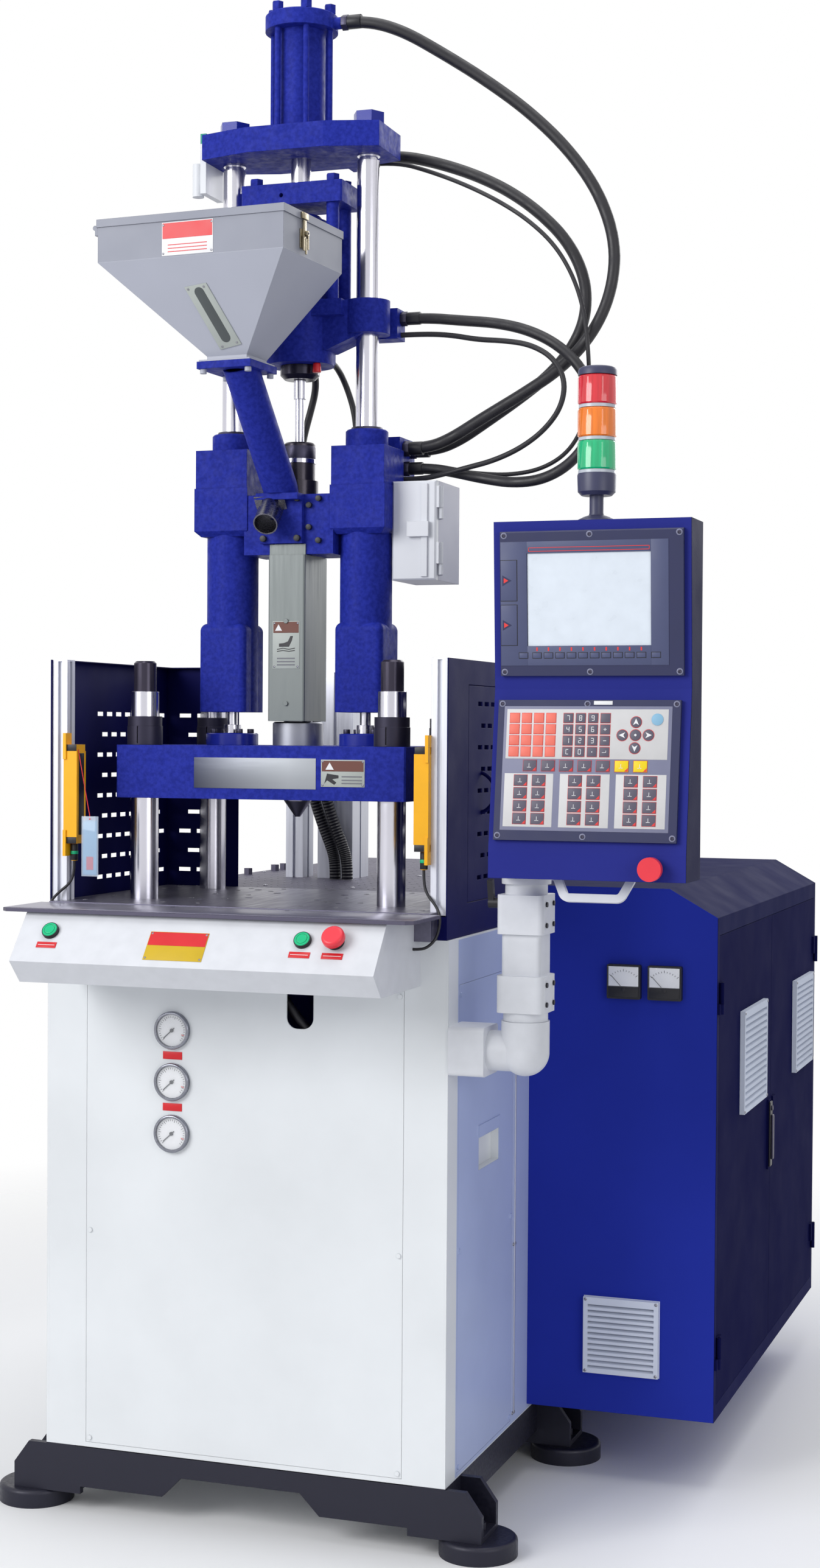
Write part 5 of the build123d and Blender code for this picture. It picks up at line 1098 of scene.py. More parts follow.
@dataclass(frozen=True)
class Console:
    """Two-hand console with its slanted face."""

    low: tuple[float, float, float] = (0.0, -240.0, 1042.0)
    up: tuple[float, float, float] = (0.0, 65.0, 82.0)
    button_up: float = 64.0
    green_left_x: float = -277.0
    green_right_x: float = 197.5
    stop_x: float = 256.5
    plate: tuple[float, float, float, float] = (-86.0, 24.0, 14.0, 72.0)

    def build(self) -> None:
        """Paints the console and adds its rings, tags and plate."""
        coat(PALE_PLASTIC, "console")
        coat(START_GREEN, "start_button_left", "start_button_right")
        coat(STOP_RED, "console_stop")
        place = slanted(Vector(self.low), X_AXIS, Vector(self.up))
        rings = Piece("button rings", START_GREEN, BLACK_PLASTIC)
        rings.on(place)
        for x in (self.green_left_x, self.green_right_x):
            rings.use(START_GREEN).ring([(9.9, 0), (13.6, 0), (13.6, 7.3), (12.6, 8.2), (9.9, 8.2)],
                                        x, self.button_up)
            rings.use(BLACK_PLASTIC).ring([(13.7, 0), (15.4, 0), (15.4, 5.6), (14.8, 7.2), (13.7, 7.2)],
                                          x, self.button_up)
        rings.use(BLACK_PLASTIC).ring([(10.2, 0), (15.4, 0), (15.4, 5.4), (14.0, 7.4), (10.2, 7.4)],
                                      self.stop_x, self.button_up)
        rings.done("base")
        tags = Piece("console tags", RED_LACQUER, WHITE_PRINT, OLIVE_PRINT, ZINC)
        tags.on(place)
        for x in (self.green_left_x, self.green_right_x, self.stop_x):
            tags.use(RED_LACQUER).box(x - 19, x + 19, 30, 42, 0, 1.0, 0.3)
            tags.use(WHITE_PRINT).box(x - 16, x + 16, 35.4, 36.4, 0.9, 1.2, 0)
        x0, x1, y0, y1 = self.plate
        tags.use(OLIVE_PRINT).box(x0, x1, y0, y1, 0, 0.8, 0.3)
        tags.use(RED_LACQUER).box(x0 + 1, x1 - 1, y1 - 28, y1 - 1, 0.6, 1.1, 0)
        tags.use(ZINC).screws((x0 + 4, x1 - 4), (y0 + 4, y1 - 4), 0.9, 4)
        tags.done("base")


@dataclass(frozen=True)
class MouldArea:
    """Guards, posts and light curtains round the mould space."""

    curtain: tuple[float, float] = (327.0, 354.0)
    curtain_z: tuple[float, float] = (1249.0, 1407.0)

    def build(self) -> None:
        """Paints the guards and adds the curtain windows and plugs."""
        coat(ALUMINIUM, "profile_posts")
        coat(SHADED_GUARD_SHEET, "perforated_guards", "guard_door")
        coat(CURTAIN_YELLOW, "light_curtains")
        windows = Piece("curtain windows", BLACK_PLASTIC, START_GREEN)
        inner, outer = self.curtain
        low, high = self.curtain_z
        for side in (-1, 1):
            plane = face(Side.LEFT if side > 0 else Side.RIGHT, side * inner)
            y_sign = -1 if side > 0 else 1
            y0, y1 = sorted((y_sign * -2, y_sign * 18))
            windows.on(plane).use(BLACK_PLASTIC).box(y0, y1, low + 4, high - 4, 0, 0.8, 0.3)
            x0, x1 = sorted((side * (inner + 1), side * (outer - 1)))
            windows.on(face(Side.FRONT, -9)).box(x0, x1, high, high + 12, 0, 0.6, 0.3)
            windows.box(x0, x1, low - 12, low, 0, 0.6, 0.3)
            windows.on(face(Side.TOP, 0)).use(BLACK_PLASTIC)
            middle = side * (inner + outer) / 2
            windows.disc(middle, 8, 1206, 1236, 13.5)
            windows.use(START_GREEN).disc(middle, 8, 1217, 1223, 14.2)
        windows.done("base")
        tag = Piece("sleeved tag", CLEAR_SLEEVE, BLUE_KEY, RED_LACQUER)
        tag.on(face(Side.FRONT, -14)).use(CLEAR_SLEEVE).box(-314, -280, 1178, 1288, 0, 1.6, 0.4)
        tag.use(BLUE_KEY).box(-311, -283, 1181, 1280, 0.4, 1.2, 0)
        tag.use(RED_LACQUER).box(-304, -290, 1190, 1214, 1.0, 1.4, 0)
        tag.disc(-297, 1283, 0, 2.0, 3)
        tag.done("base")
        string = Vector((-297, -14, 1284))
        run = Vector((-327, -4, 1410)) - string
        cord = Piece("tag string", RED_LACQUER)
        turn = run.to_track_quat("Z", "X").to_matrix().to_4x4()
        cord.on(Matrix.Translation(string) @ turn).disc(0, 0, 0, run.length, 1.6, bevel=0, sides=10)
        cord.done("base")


@dataclass(frozen=True)
class ClampUnit:
    """Upper platen with its tie bars, nuts and plates."""

    front_y: float = 66.0
    platen_top: float = 1419.0

    def build(self) -> None:
        """Paints the clamp and adds its plates and screws."""
        coat(BLUE_ENAMEL, "platen")
        coat(TIE_CHROME, "tie_bars")
        coat(ROD_CHROME, "seat_rods")
        coat(COLLAR_STEEL, "platen_collars")
        coat(TURNED_STEEL, "clamp_crosshead")
        plates = Piece("platen plates", BRAND_PLATE, PLATE_STEEL, BROWN_PRINT, WHITE_PRINT, BLACK_PLASTIC,
                       GREY_PRINT, ZINC)
        plates.on(face(Side.FRONT, self.front_y))
        plates.use(BRAND_PLATE).box(-126, 114, 1341, 1397, 0, 1.0, 0.3)
        plates.use(PLATE_STEEL).box(124, 208, 1346, 1395, 0, 1.0, 0.3)
        plates.use(BROWN_PRINT).box(126, 206, 1374, 1393, 0.9, 1.3, 0)
        plates.use(WHITE_PRINT).prism([(133, 1377), (149, 1377), (141, 1390)], 1.2, 1.5, 0)
        plates.use(BLACK_PLASTIC).prism([(131, 1352), (136, 1358), (150, 1350), (154, 1354), (146, 1360),
                                         (158, 1362), (158, 1367), (136, 1370)], 0.9, 1.3, 0)
        plates.use(GREY_PRINT)
        for z in (1351.5, 1357, 1363.5):
            plates.box(164, 203, z, z + 2.4, 0.9, 1.2, 0)
        plates.use(ZINC).screws((127.5, 204.5), (1349.5, 1391.5), 1.2, 4)
        plates.done("clamp")
        screws = Piece("flange screws", DARK_STEEL)
        screws.on(face(Side.TOP, self.platen_top + 23))
        for x in COLUMN_X:
            for index in range(4):
                turn = math.radians(45 + 90 * index)
                screws.disc(x + 38 * math.cos(turn), AXIS_Y + 38 * math.sin(turn), 0, 8, 13)
        screws.done("clamp")


@dataclass(frozen=True)
class InjectionUnit:
    """Cast frame, columns, cylinder, barrel and junction box."""

    block_front: float = 208.0
    throat_front: float = 196.0
    cover_front: float = 200.0

    def build(self) -> None:
        """Paints the injection unit and adds its fine pieces."""
        coat(BLUE_ENAMEL, "injection_frame", "injection_cylinder", "top_plate", "crosshead", "push_plate",
             "feed_chute", "cylinder_tie_rods", "screw_motor")
        coat(COLUMN_CHROME, "guide_columns")
        coat(CHROME, "piston_rod")
        coat(SCREW_STEEL, "screw")
        coat(SPOUT_STEEL, "drain_spout")
        coat(BARREL_STEEL, "barrel")
        coat(COVER_STEEL, "barrel_cover")
        coat(BOX_PLASTIC_AND_SHADE, "junction_box", "junction_box_lid")
        coat(TRANSDUCER, "position_transducer")
        self.throat_screws()
        self.cover_plate()
        self.rear_nut()
        self.column_rings()
        self.hose_ends()

    def throat_screws(self) -> None:
        """Black socket screws of the throat plate and of the block beside it."""
        piece = Piece("throat screws", BLACK_PLASTIC)
        piece.on(face(Side.FRONT, self.throat_front))
        for x, z in ((-44, 1806), (-44, 1880), (24, 1806), (24, 1880)):
            piece.disc(x, z, 0, 8, 12)
        piece.on(face(Side.FRONT, self.block_front))
        for x, z in ((43, 1868), (43, 1827), (62, 1880), (62, 1802)):
            piece.disc(x, z, 0, 8, 11)
        piece.done("injection_unit")

    def cover_plate(self) -> None:
        """The bare plate on the barrel cover: a brown band, a dark shape and grey bars."""
        piece = Piece("cover plate", PLATE_STEEL, BROWN_PRINT, WHITE_PRINT, BLACK_PLASTIC, GREY_PRINT, ZINC)
        piece.on(face(Side.FRONT, self.cover_front))
        piece.box(-27, 27, 1563, 1652, 0, 0.8, 0.3)
        piece.use(BROWN_PRINT).box(-25.5, 25.5, 1630, 1650.5, 0.7, 1.1, 0)
        piece.use(WHITE_PRINT).prism([(-22, 1634), (-8, 1634), (-15, 1646)], 1.0, 1.3, 0)
        piece.use(BLACK_PLASTIC).prism([(-14, 1604), (6, 1604), (12, 1616), (14, 1624), (9, 1624), (4, 1614),
                                        (-4, 1611), (-14, 1610)], 0.7, 1.1, 0)
        for low in (1594.5, 1598.5):
            piece.prism([(-18, low), (-6, low + 2), (6, low), (18, low + 2), (18, low + 3.5), (6, low + 1.5),
                         (-6, low + 3.5), (-18, low + 1.5)], 0.7, 1.1, 0)
        piece.use(GREY_PRINT)
        for low in (1569, 1575, 1581):
            piece.box(-18, 18, low, low + 2.6, 0.7, 1.0, 0)
        piece.use(ZINC).screws((-23.5, 23.5), (1567, 1648), 1.0, 4)
        piece.done("injection_unit")
        fitting = Piece("grease fitting", RED_LACQUER)
        fitting.on(face(Side.TOP, 2136)).disc(46, 232, -18, 0, 17, 14, bevel=2.0)
        fitting.done("crosshead_unit")

    def rear_nut(self) -> None:
        """Dark sleeve and bright ring at the back end of the barrel."""
        piece = Piece("barrel end ring", CHROME, DARK_STEEL)
        piece.on(slanted(Vector((0, AXIS_Y, 0)), X_AXIS, Y_AXIS))
        piece.use(CHROME).ring([(29.6, 1952), (31.5, 1952), (31.5, 1960), (29.6, 1960)])
        piece.use(DARK_STEEL).ring([(29.6, 1960), (30.4, 1962), (30.4, 1982), (27, 1990),
                                    (16, 1991.4), (16, 1960)])
        piece.done("injection_unit")

    def column_rings(self) -> None:
        """Bright scraper rings where the columns enter the collars."""
        piece = Piece("column scraper rings", DARK_STEEL)
        for x in COLUMN_X:
            piece.on(slanted(Vector((x, AXIS_Y, 0)), X_AXIS, Y_AXIS))
            piece.ring([(21.6, 2010), (31, 2010), (29, 2015), (21.6, 2015)])
        piece.done("injection_unit")

    def hose_ends(self) -> None:
        """Crimped fittings where the large hoses meet their ports."""
        for name, body, ends in (
                ("hose fittings", "injection_unit",
                 (((82.5, 262, 2774), 1, 24), ((110, 367, 2546), 1, 24), ((182, 342, 1984), 1, 24),
                  ((182, 380, 1984), 1, 24), ((182, 342, 1946), 1, 22))),
                ("crosshead fittings", "crosshead_unit", (((182.3, 322, 2226), 1, 22),))):
            piece = Piece(name, DARK_STEEL, BLACK_PLASTIC)
            for place, out, d in ends:
                spot = slanted(Vector(place), Y_AXIS, Z_AXIS)
                piece.on(spot).use(DARK_STEEL).disc(0, 0, 0, 12, d + 6, bevel=0.8, sides=6)
                piece.use(BLACK_PLASTIC).disc(0, 0, 12, 38, d + 2, bevel=1.0)
            piece.done(body)


@dataclass(frozen=True)
class HopperUnit:
    """Material hopper with its lid, sight glass, latch and plate."""

    centre: tuple[float, float] = (-70.0, 50.0)
    width: float = 370.0
    depth: float = 244.0
    turn: float = -3.6
    crease: float = 2284.0
    top: float = 2359.0
    mouth_front: float = -27.0
    bottom: float = 2121.0

    def build(self) -> None:
        """Paints the hopper and adds its plate, glass and latch."""
        coat(FUNNEL_STEEL, "hopper", "hopper_lid")
        angle = math.radians(self.turn)
        right = Vector((math.cos(angle), math.sin(angle), 0))
        back = Vector((-math.sin(angle), math.cos(angle), 0))
        middle = Vector((*self.centre, 0))
        front = slanted(middle - back * (self.depth / 2), right, Z_AXIS)
        plate = Piece("hopper plate", WHITE_PRINT, RED_LACQUER, ZINC)
        low, high = self.crease + 2, self.top - 14
        plate.on(front).box(-54, 48, low, high, 0, 0.8, 0.3)
        plate.use(RED_LACQUER).box(-52.5, 46.5, low + 30, high - 1.5, 0.6, 1.1, 0)
        for z in (low + 6, low + 12, low + 18):
            plate.box(-42, 36, z, z + 1.6, 0.6, 1.0, 0)
        plate.use(ZINC).screws((-51, 45), (low + 4, high - 5), 0.9, 4)
        plate.done("injection_unit")
        slope = Vector((0, 0, self.crease - self.bottom)) - back * (self.depth / 2 + self.mouth_front)
        funnel = slanted(middle + back * self.mouth_front + Vector((0, 0, self.bottom)), right, slope)
        glass = Piece("hopper sight glass", PLATE_STEEL, OLIVE_GLASS, ZINC)
        glass.on(funnel).use(PLATE_STEEL).prism([(-24, 132), (21, 137), (62, 20), (18, 12)], 0, 2.0, 0.5)
        glass.use(OLIVE_GLASS).prism(capsule(4, 121, 34, 35, 19), 1.8, 2.6, 0.2)
        glass.use(ZINC)
        for x, y in ((-17, 128), (15, 131), (54, 24), (23, 18)):
            glass.disc(x, y, 1.9, 2.8, 4, bevel=0, sides=12)
        glass.done("injection_unit")
        latch = Piece("hopper latch", LATCH_STEEL, DARK_STEEL)
        latch.on(slanted(middle + right * (self.width / 2), back, Z_AXIS))
        latch.use(LATCH_STEEL).box(-58, -34, 2296, 2330, 0, 2.5, 0.5)
        latch.box(-52, -40, 2312, 2346, 2.5, 6, 1.0)
        latch.disc(-46, 2322, 6, 12, 10)
        for x0, x1, z0, z1 in ((-56, -50, 2291, 2318), (-47, -42, 2286, 2314), (-39, -34, 2295, 2320)):
            latch.box(x0, x1, z0, z1, 5, 8, 1.0)
        latch.use(DARK_STEEL).disc(-46, 2322, 12, 13, 4)
        latch.done("injection_unit")
        catch = Piece("lid catch", LATCH_STEEL)
        catch.on(slanted(middle + right * (self.width / 2 + 2.2), back, Z_AXIS))
        catch.box(-58, -34, 2347.5, 2359, 0, 5, 0.8)
        catch.done("hopper_cover")


@dataclass(frozen=True)
class ControlPanel:
    """Swivelling control panel with its display, keys, stop button and handle."""

    upper_low: tuple[float, float, float] = (0.0, -50.0, 1519.0)
    upper_up: tuple[float, float, float] = (0.0, -16.0, 282.0)
    lower_low: tuple[float, float, float] = (0.0, -84.0, 1245.0)
    lower_up: tuple[float, float, float] = (0.0, 34.0, 274.0)
    bezel: float = 8.0
    film: float = 0.8
    key_foot: float = 8.5
    key_top: float = 9.9
    small_key: tuple[float, float] = (16.5, 16.0)
    wide_key: tuple[float, float] = (23.0, 18.5)
    key_rows: tuple[float, ...] = (226.0, 207.0, 188.0, 169.0)
    red_columns: tuple[float, ...] = (526.0, 547.0, 568.2, 589.4)
    number_columns: tuple[float, ...] = (619.4, 640.6, 662.0, 683.3)
    lamp_pitch: float = 19.95

    def upper(self) -> Matrix:
        """The place of the display's face."""
        return slanted(Vector(self.upper_low), X_AXIS, Vector(self.upper_up))

    def lower(self) -> Matrix:
        """The place of the keyboard's face."""
        return slanted(Vector(self.lower_low), X_AXIS, Vector(self.lower_up))

    def build(self) -> None:
        """Paints the panel and adds its front."""
        coat(PALE_PLASTIC, "arm_elbow", "swivel_arm")
        coat(BLUE_PANEL_AND_SHADE, "panel_housing")
        coat(SLATE_PLASTIC, "panel_bezels")
        coat(SCREEN_GLASS, "display_screen")
        coat(PALE_PLASTIC, "panel_handle")
        coat(STOP_RED, "panel_stop")
        coat(BLACK_PLASTIC, "clamp_lever")
        self.upper_front()
        self.lower_films()
        self.lower_keys()
        self.digits()
        self.bezel_screws()
        self.arm_screws()

    def upper_front(self) -> None:
        """Grey film round the display, its keys, marks and cover flaps."""
        place = self.upper()
        top = self.bezel + self.film
        film = Piece("display film", DISPLAY_FILM, SLATE_PLASTIC, BLACK_PLASTIC, RED_PRINT)
        film.on(place).use(DISPLAY_FILM)
        for field in ((500, 546, 40, 248), (759, 789, 40, 248), (546, 759, 40, 73), (546, 759, 228, 248)):
            film.box(*field, self.bezel - 0.4, top, 0.3)
        for low, high in ((74.5, 141.8), (149.3, 217)):
            film.use(BLACK_PLASTIC).box(500, 529.5, low - 1, high + 1, top - 0.3, top + 0.15, 0)
            film.use(DISPLAY_FILM).box(500.6, 528.3, low, high, top, top + 0.9, 0.3)
            middle = (low + high) / 2
            film.use(SLATE_PLASTIC)
            film.prism([(503.5, middle - 9), (503.5, middle + 9), (519.5, middle)], top + 0.8, top + 1.1, 0)
            film.use(RED_PRINT)
            film.prism([(506, middle - 4.5), (506, middle + 4.5), (514, middle)], top + 1.0, top + 1.3, 0)
        film.use(RED_PRINT)
        for low, high in ((231, 232), (237, 238)):
            film.box(549, 757, low, high, top - 0.2, top + 0.2, 0)
        for x in (549, 756):
            film.box(x, x + 1, 231, 238, top - 0.2, top + 0.2, 0)
        marks = [563 + index * self.lamp_pitch for index in range(10)]
        for middle in marks:
            film.use(RED_PRINT).box(middle - 1.3, middle + 1.3, 64.5, 70.5, top - 0.2, top + 0.2, 0)
        for middle in [539.4, *marks, 767.4]:
            film.use(BLACK_PLASTIC).box(middle - 8.2, middle + 8.2, 51.8, 62.2, top - 0.3, top + 0.2, 0)
            film.use(DISPLAY_FILM).box(middle - 7.2, middle + 7.2, 52.8, 61.2, top, top + 0.9, 0.4)
        film.done("panel_arm")

    def lower_films(self) -> None:
        """Grey and pale fields of the keyboard."""
        place = self.lower()
        film = Piece("keyboard film", GREY_FILM, PALE_FILM, WHITE_PRINT, BLUE_KEY)
        film.on(place).use(GREY_FILM).box(507, 796, 36, 246, self.bezel - 0.3, self.bezel + 0.5, 0.3)
        film.use(PALE_FILM)
        for x0, x1, y0, y1 in ((512, 790, 157, 241), (512, 597, 42, 132), (608.5, 694, 42, 132),
                               (704.5, 790, 42, 132)):
            film.box(x0, x1, y0, y1, self.bezel + 0.3, self.bezel + self.film, 0.2)
        film.use(BLUE_KEY).disc(771.5, 224, self.bezel + 0.6, self.bezel + 1.9, 20)
        film.use(WHITE_PRINT).box(662, 694, 248.6, 255, self.bezel - 0.2, self.bezel + 0.4, 0.2)
        film.done("panel_arm")

    def lower_keys(self) -> None:
        """Domed keys of the keyboard, in their groups."""
        place = self.lower()
        keys = Piece("keyboard keys", RED_KEY, DARK_KEY, YELLOW_KEY, RED_PRINT, WHITE_PRINT)
        keys.on(place)
        foot, top = self.key_foot, self.key_top
        for columns, cap in ((self.red_columns, RED_KEY), (self.number_columns, DARK_KEY)):
            for x in columns:
                for y in self.key_rows:
                    self.framed_key(keys, x, y, self.small_key, 0.6, cap)
        for x, y, turn in ((735.6, 219.5, 90), (712.8, 197.5, 180), (735.2, 197.8, None),
                           (757.2, 197.8, 0), (734.6, 176.0, 270)):
            keys.on(place).use(RED_PRINT).disc(x, y, foot, foot + 0.6, 20, bevel=0)
            keys.use(DARK_KEY).disc(x, y, foot, top, 18.5, bevel=0.8)
            if turn is None:
                keys.use(WHITE_PRINT).disc(x, y, top - 0.2, top + 0.2, 4, bevel=0)
                continue
            spot = place @ Matrix.Translation((x, y, 0)) @ Matrix.Rotation(math.radians(turn), 4, "Z")
            keys.on(spot).use(WHITE_PRINT)
            keys.prism([(-5, -5), (6, 0), (-5, 5), (-2, 0)], top - 0.2, top + 0.2, 0)
        keys.on(place)
        for index, x in enumerate((555.3, 587.0, 618.4, 650.0, 681.5, 713.4, 745.3)):
            cap = DARK_KEY if index < 5 else YELLOW_KEY
            self.cornered_key(keys, x, 145.5, cap)
        for x in (540.4, 572.0, 634.9, 666.6, 730.3, 762.7):
            for y in (120.3, 98.8, 77.2, 55.8):
                self.cornered_key(keys, x, y, DARK_KEY)
        keys.done("panel_arm")

    def framed_key(self, keys: Piece, x: float, y: float, size: tuple[float, float], rim: float,
                   cap: Finish) -> None:
        """Adds a key in a red frame.

        Args:
            keys: the piece that takes it.
            x: its centre along X.
            y: its centre up the face.
            size: its width and height.
            rim: how far the frame shows round it.
            cap: its finish.
        """
        wide, tall = size[0] / 2, size[1] / 2
        keys.use(RED_PRINT).box(x - wide - rim, x + wide + rim, y - tall - rim, y + tall + rim,
                                self.key_foot, self.key_foot + 0.6, 0)
        keys.use(cap).box(x - wide, x + wide, y - tall, y + tall, self.key_foot, self.key_top, 0.8)

    def cornered_key(self, keys: Piece, x: float, y: float, cap: Finish) -> None:
        """Adds a wide key with a red lower right-hand corner and a white sign."""
        self.framed_key(keys, x, y, self.wide_key, 0.5, cap)
        top = self.key_top
        right, low = x + self.wide_key[0] / 2, y - self.wide_key[1] / 2
        keys.use(RED_PRINT).prism([(right - 6.5, low + 0.6), (right - 0.6, low + 0.6),
                                   (right - 0.6, low + 6.5)], top - 0.3, top + 0.15, 0)
        keys.use(WHITE_PRINT)
        keys.box(x - 4.5, x + 2.5, y - 3.5, y - 2.7, top - 0.2, top + 0.12, 0)
        keys.box(x - 1.4, x - 0.6, y - 3.5, y + 3.6, top - 0.2, top + 0.12, 0)

    def digits(self) -> None:
        """Plain stroke digits and signs on the number keys."""
        strokes = {
            "a": (-2.0, 2.0, 3.4, 4.4), "b": (1.6, 2.6, 0.2, 4.0), "c": (1.6, 2.6, -4.0, -0.2),
            "d": (-2.0, 2.0, -4.4, -3.4), "e": (-2.6, -1.6, -4.0, -0.2), "f": (-2.6, -1.6, 0.2, 4.0),
            "g": (-2.0, 2.0, -0.5, 0.5), "|": (-0.5, 0.5, -2.6, 2.6), "-": (-2.6, 2.6, -0.5, 0.5),
            ".": (-0.8, 0.8, -0.8, 0.8), "<": (-4.0, 3.0, -1.4, -0.6), "^": (2.2, 3.0, -1.4, 2.4),
        }
        signs = (("abc", "abcdefg", "abcdfg", ""), ("bcfg", "acdfg", "acdefg", "|-"),
                 ("bc", "abdeg", "abcdg", "-"), ("adef", "abcdef", ".", "<^"))
        place = self.lower()
        top = self.key_top
        print_piece = Piece("key signs", WHITE_PRINT)
        print_piece.on(place)
        for row, y in zip(signs, self.key_rows):
            for lit, x in zip(row, self.number_columns):
                for stroke in lit:
                    x0, x1, y0, y1 = strokes[stroke]
                    print_piece.box(x + x0, x + x1, y + y0, y + y1, top - 0.2, top + 0.2, 0)
        print_piece.done("panel_arm")

    def arm_screws(self) -> None:
        """Black screws in the side of the arm's two clamping blocks."""
        piece = Piece("arm screws", BLACK_PLASTIC)
        for out, heights in ((560.0, (1114, 1150)), (561.0, (977, 1011))):
            piece.on(face(Side.RIGHT, out))
            for y in (18, 62):
                for z in heights:
                    piece.disc(y, z, 0, 3, 9)
        piece.done("panel_arm")

    def bezel_screws(self) -> None:
        """Corner tabs and socket screws of both bezels."""
        piece = Piece("bezel screws", GREY_FILM, DARK_STEEL)
        for place, xs, ys in ((self.upper(), (506, 654.6, 807), (29.5, 258.5)),
                              (self.lower(), (503, 651, 803), (27.0, 250.0))):
            piece.on(place)
            for x in xs:
                for y in ys:
                    piece.use(GREY_FILM).disc(x, y, self.bezel - 0.4, self.bezel + 0.6, 11)
                    piece.use(DARK_STEEL).screw(x, y, self.bezel + 0.6, 6.5)
        piece.done("panel_arm")


@dataclass(frozen=True)
class SignalTower:
    """Stack of three coloured lamps on the panel."""

    x: float = 651.0
    y: float = -12.0
    foot: float = 1801.0
    stem_top: float = 1846.0
    base_top: float = 1883.0
    lamp_h: float = 55.0
    radius: float = 33.0
    stem_radius: float = 12.0

    def build(self) -> None:
        """Turns the foot, the lamps and the cap."""
        place = slanted(Vector((self.x, self.y, 0)), X_AXIS, Y_AXIS)
        grey = Plastic("grey tower plastic", (62, 64, 92), 0.4)
        clear = Plastic("clear lens ring", (198, 204, 214), 0.2)
        stand = Piece("tower stand", grey)
        stand.on(place).turned([(0, self.foot), (32, self.foot), (32, self.foot + 4), (22, self.foot + 9),
                                (self.stem_radius + 1, self.foot + 12), (self.stem_radius, self.foot + 16),
                                (self.stem_radius, self.stem_top), (26, self.stem_top),
                                (self.radius - 1, self.stem_top + 6), (self.radius, self.base_top - 3),
                                (self.radius - 1, self.base_top), (0, self.base_top)])
        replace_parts(stand.done("panel_arm"), "signal_tower")
        colours = (("green lens", (2, 196, 130)), ("orange lens", (250, 132, 12)),
                   ("red lens", (228, 40, 54)))
        for index, (name, colour) in enumerate(colours):
            low = self.base_top + index * self.lamp_h
            high = low + self.lamp_h
            lens = Lens(name, colour)
            lamp = Piece(name.replace("lens", "lamp"), lens, clear)
            lamp.on(place).use(clear).turned([(0, low), (self.radius - 1.5, low),
                                              (self.radius - 1.5, low + 5), (self.radius - 3, low + 6),
                                              (0, low + 6)])
            lamp.use(lens).turned([(0, low + 6), (self.radius - 2, low + 6), (self.radius, low + 8),
                                   (self.radius, high - 4), (self.radius - 2, high - 1), (0, high - 1)])
            for turn in range(24):
                spot = place @ Matrix.Rotation(math.radians(15 * turn), 4, "Z")
                lamp.on(spot).box(self.radius - 1.4, self.radius, -1.5, 1.5, low + 9, high - 5, 0.4, 1)
            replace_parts(lamp.done("panel_arm"), "signal_tower")
        low = self.base_top + 3 * self.lamp_h
        cap = Piece("tower cap", grey)
        cap.on(place).turned([(0, low), (self.radius, low), (self.radius, low + 8),
                              (self.radius - 2, low + 12), (self.radius - 6, low + 14), (0, low + 14)])
        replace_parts(cap.done("panel_arm"), "signal_tower")


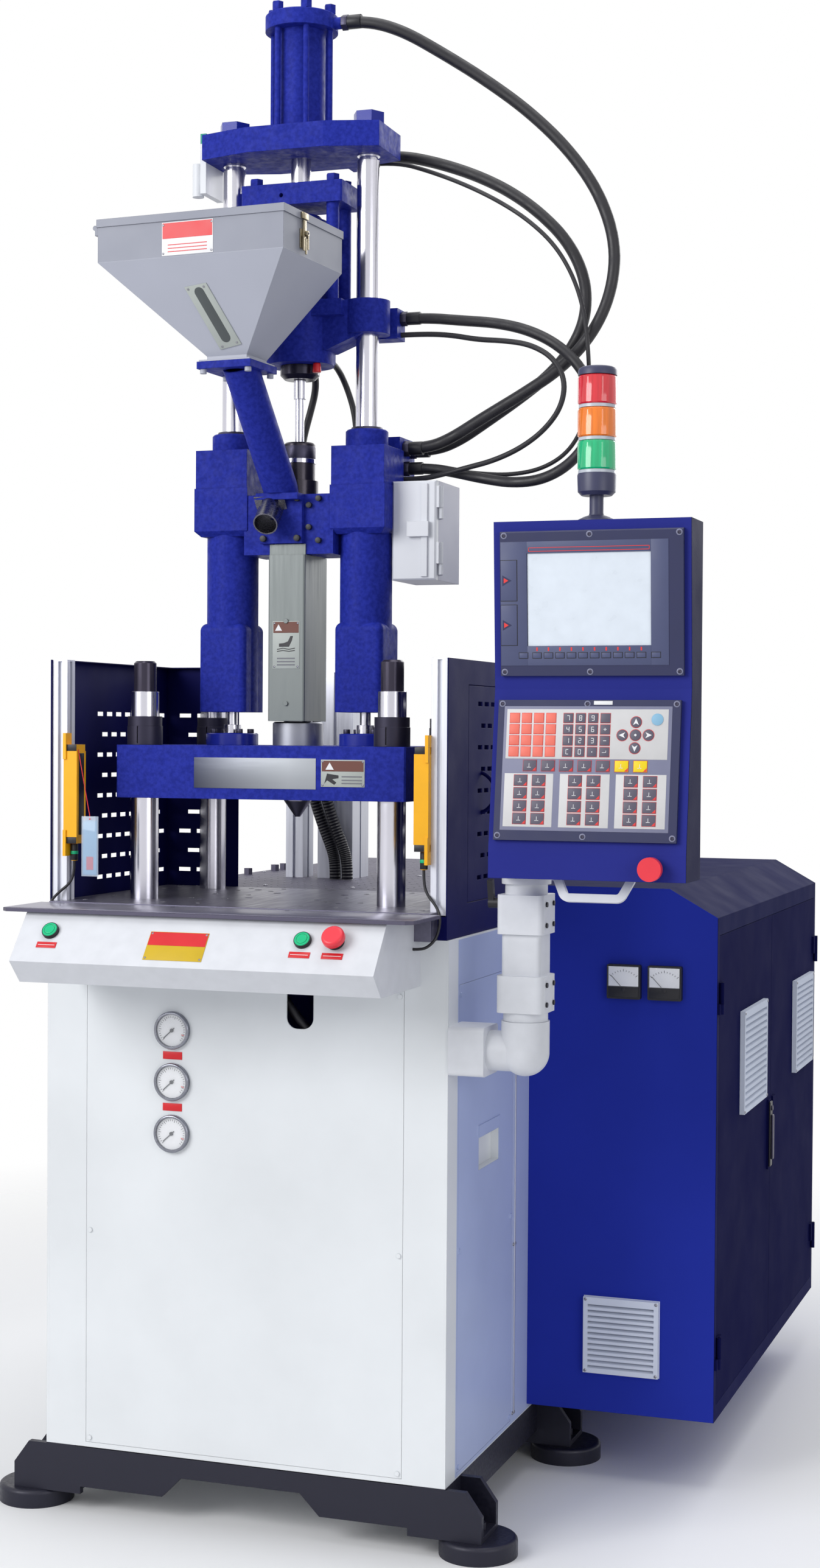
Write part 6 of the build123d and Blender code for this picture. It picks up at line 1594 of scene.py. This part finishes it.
@dataclass(frozen=True)
class ElectricalCabinet:
    """Electrical cabinet with its meters, louvre covers and handles."""

    front_y: float = 508.0
    side_x: float = 760.0
    cover_out: float = 10.0
    meter_x: tuple[float, float] = (580.0, 660.0)
    meter_z: float = 970.0
    meter: float = 66.0

    def dial(self, x: float) -> Matrix:
        """The place of a meter's face."""
        return slanted(Vector((x, self.front_y - 12, self.meter_z)), X_AXIS, Z_AXIS)

    def build(self) -> None:
        """Paints the cabinet and adds its fine pieces."""
        coat(CABINET_BLUE_AND_SHADE, "electrical_cabinet")
        coat(SHADED_DOOR_BLUE, "cabinet_door_front", "cabinet_door_rear")
        coat(BLACK_PLASTIC, "panel_meters")
        coat(PALE_PLASTIC, "electrical_panel")
        self.meters()
        self.cover_screws()
        self.handle()

    def meters(self) -> None:
        """White dials with a scale and a pointer in the two meters."""
        piece = Piece("meter dials", WHITE_PRINT, BLACK_PLASTIC, RED_PRINT)
        half = self.meter / 2
        for x in self.meter_x:
            spot = self.dial(x)
            piece.on(spot).use(WHITE_PRINT).box(-half + 4, half - 4, -8, half - 4, -0.2, 0.8, 0.2)
            hub = spot @ Matrix.Translation((0, -14, 0))
            for index in range(11):
                turn = math.radians(135 - index * 9)
                piece.use(BLACK_PLASTIC).on(hub @ Matrix.Rotation(turn, 4, "Z"))
                depth = 5.0 if index % 5 == 0 else 3.0
                piece.box(34, 34 + depth, -0.5, 0.5, 0.7, 1.0, 0)
            piece.on(hub @ Matrix.Rotation(math.radians(133), 4, "Z")).box(4, 36, -0.5, 0.5, 1.0, 1.6, 0)
            piece.on(spot).use(BLACK_PLASTIC).box(-half + 4, half - 4, -half + 4, -9, -0.2, 1.2, 0.4)
            piece.disc(0, -14, 1.0, 2.4, 8)
        piece.done("base")
        cover = Piece("meter covers", CLEAR_COVER)
        for x in self.meter_x:
            cover.on(self.dial(x)).box(-half + 3, half - 3, -9, half - 3, 2.6, 3.4, 0.3)
        cover.done("base")

    def cover_screws(self) -> None:
        """Corner screws of the three louvre covers."""
        for name, body, place, across, up in (
                ("front louvre screws", "base", face(Side.FRONT, self.front_y - self.cover_out), (505, 653),
                 (210, 357)),
                ("front door louvre screws", "front_leaf", face(Side.RIGHT, self.side_x + self.cover_out),
                 (738, 990), (688, 894)),
                ("rear door louvre screws", "rear_leaf", face(Side.RIGHT, self.side_x + self.cover_out),
                 (1349, 1583), (688, 894))):
            piece = Piece(name, ZINC)
            piece.on(place).screws((across[0] + 4.5, across[1] - 4.5), (up[0] + 4.5, up[1] - 4.5), 0, 6)
            piece.done(body)

    def handle(self) -> None:
        """The swing handle and its dished plate where the doors meet."""
        piece = Piece("cabinet door handle", BLACK_PLASTIC, DARK_STEEL)
        piece.on(face(Side.RIGHT, self.side_x + 4)).use(BLACK_PLASTIC)
        piece.box(1043, 1067, 530, 668, 0, 4, 1.5)
        piece.use(DARK_STEEL).box(1048, 1062, 545, 640, 4, 9, 2.0, 3)
        piece.disc(1055, 654, 4, 7, 11)
        piece.done("front_leaf")


def main() -> None:
    """Builds the scene, sub-assembly by sub-assembly."""
    logging.basicConfig(level=logging.INFO, format="%(message)s")
    bpy.context.scene.view_settings.view_transform = "Standard"
    for part in (Studio(), HoseSet(), BaseUnit(), Console(), MouldArea(), ClampUnit(), InjectionUnit(),
                 HopperUnit(), ControlPanel(), SignalTower(), ElectricalCabinet()):
        log.info("%s", type(part).__name__)
        part.build()


if __name__ == "__main__":
    main()
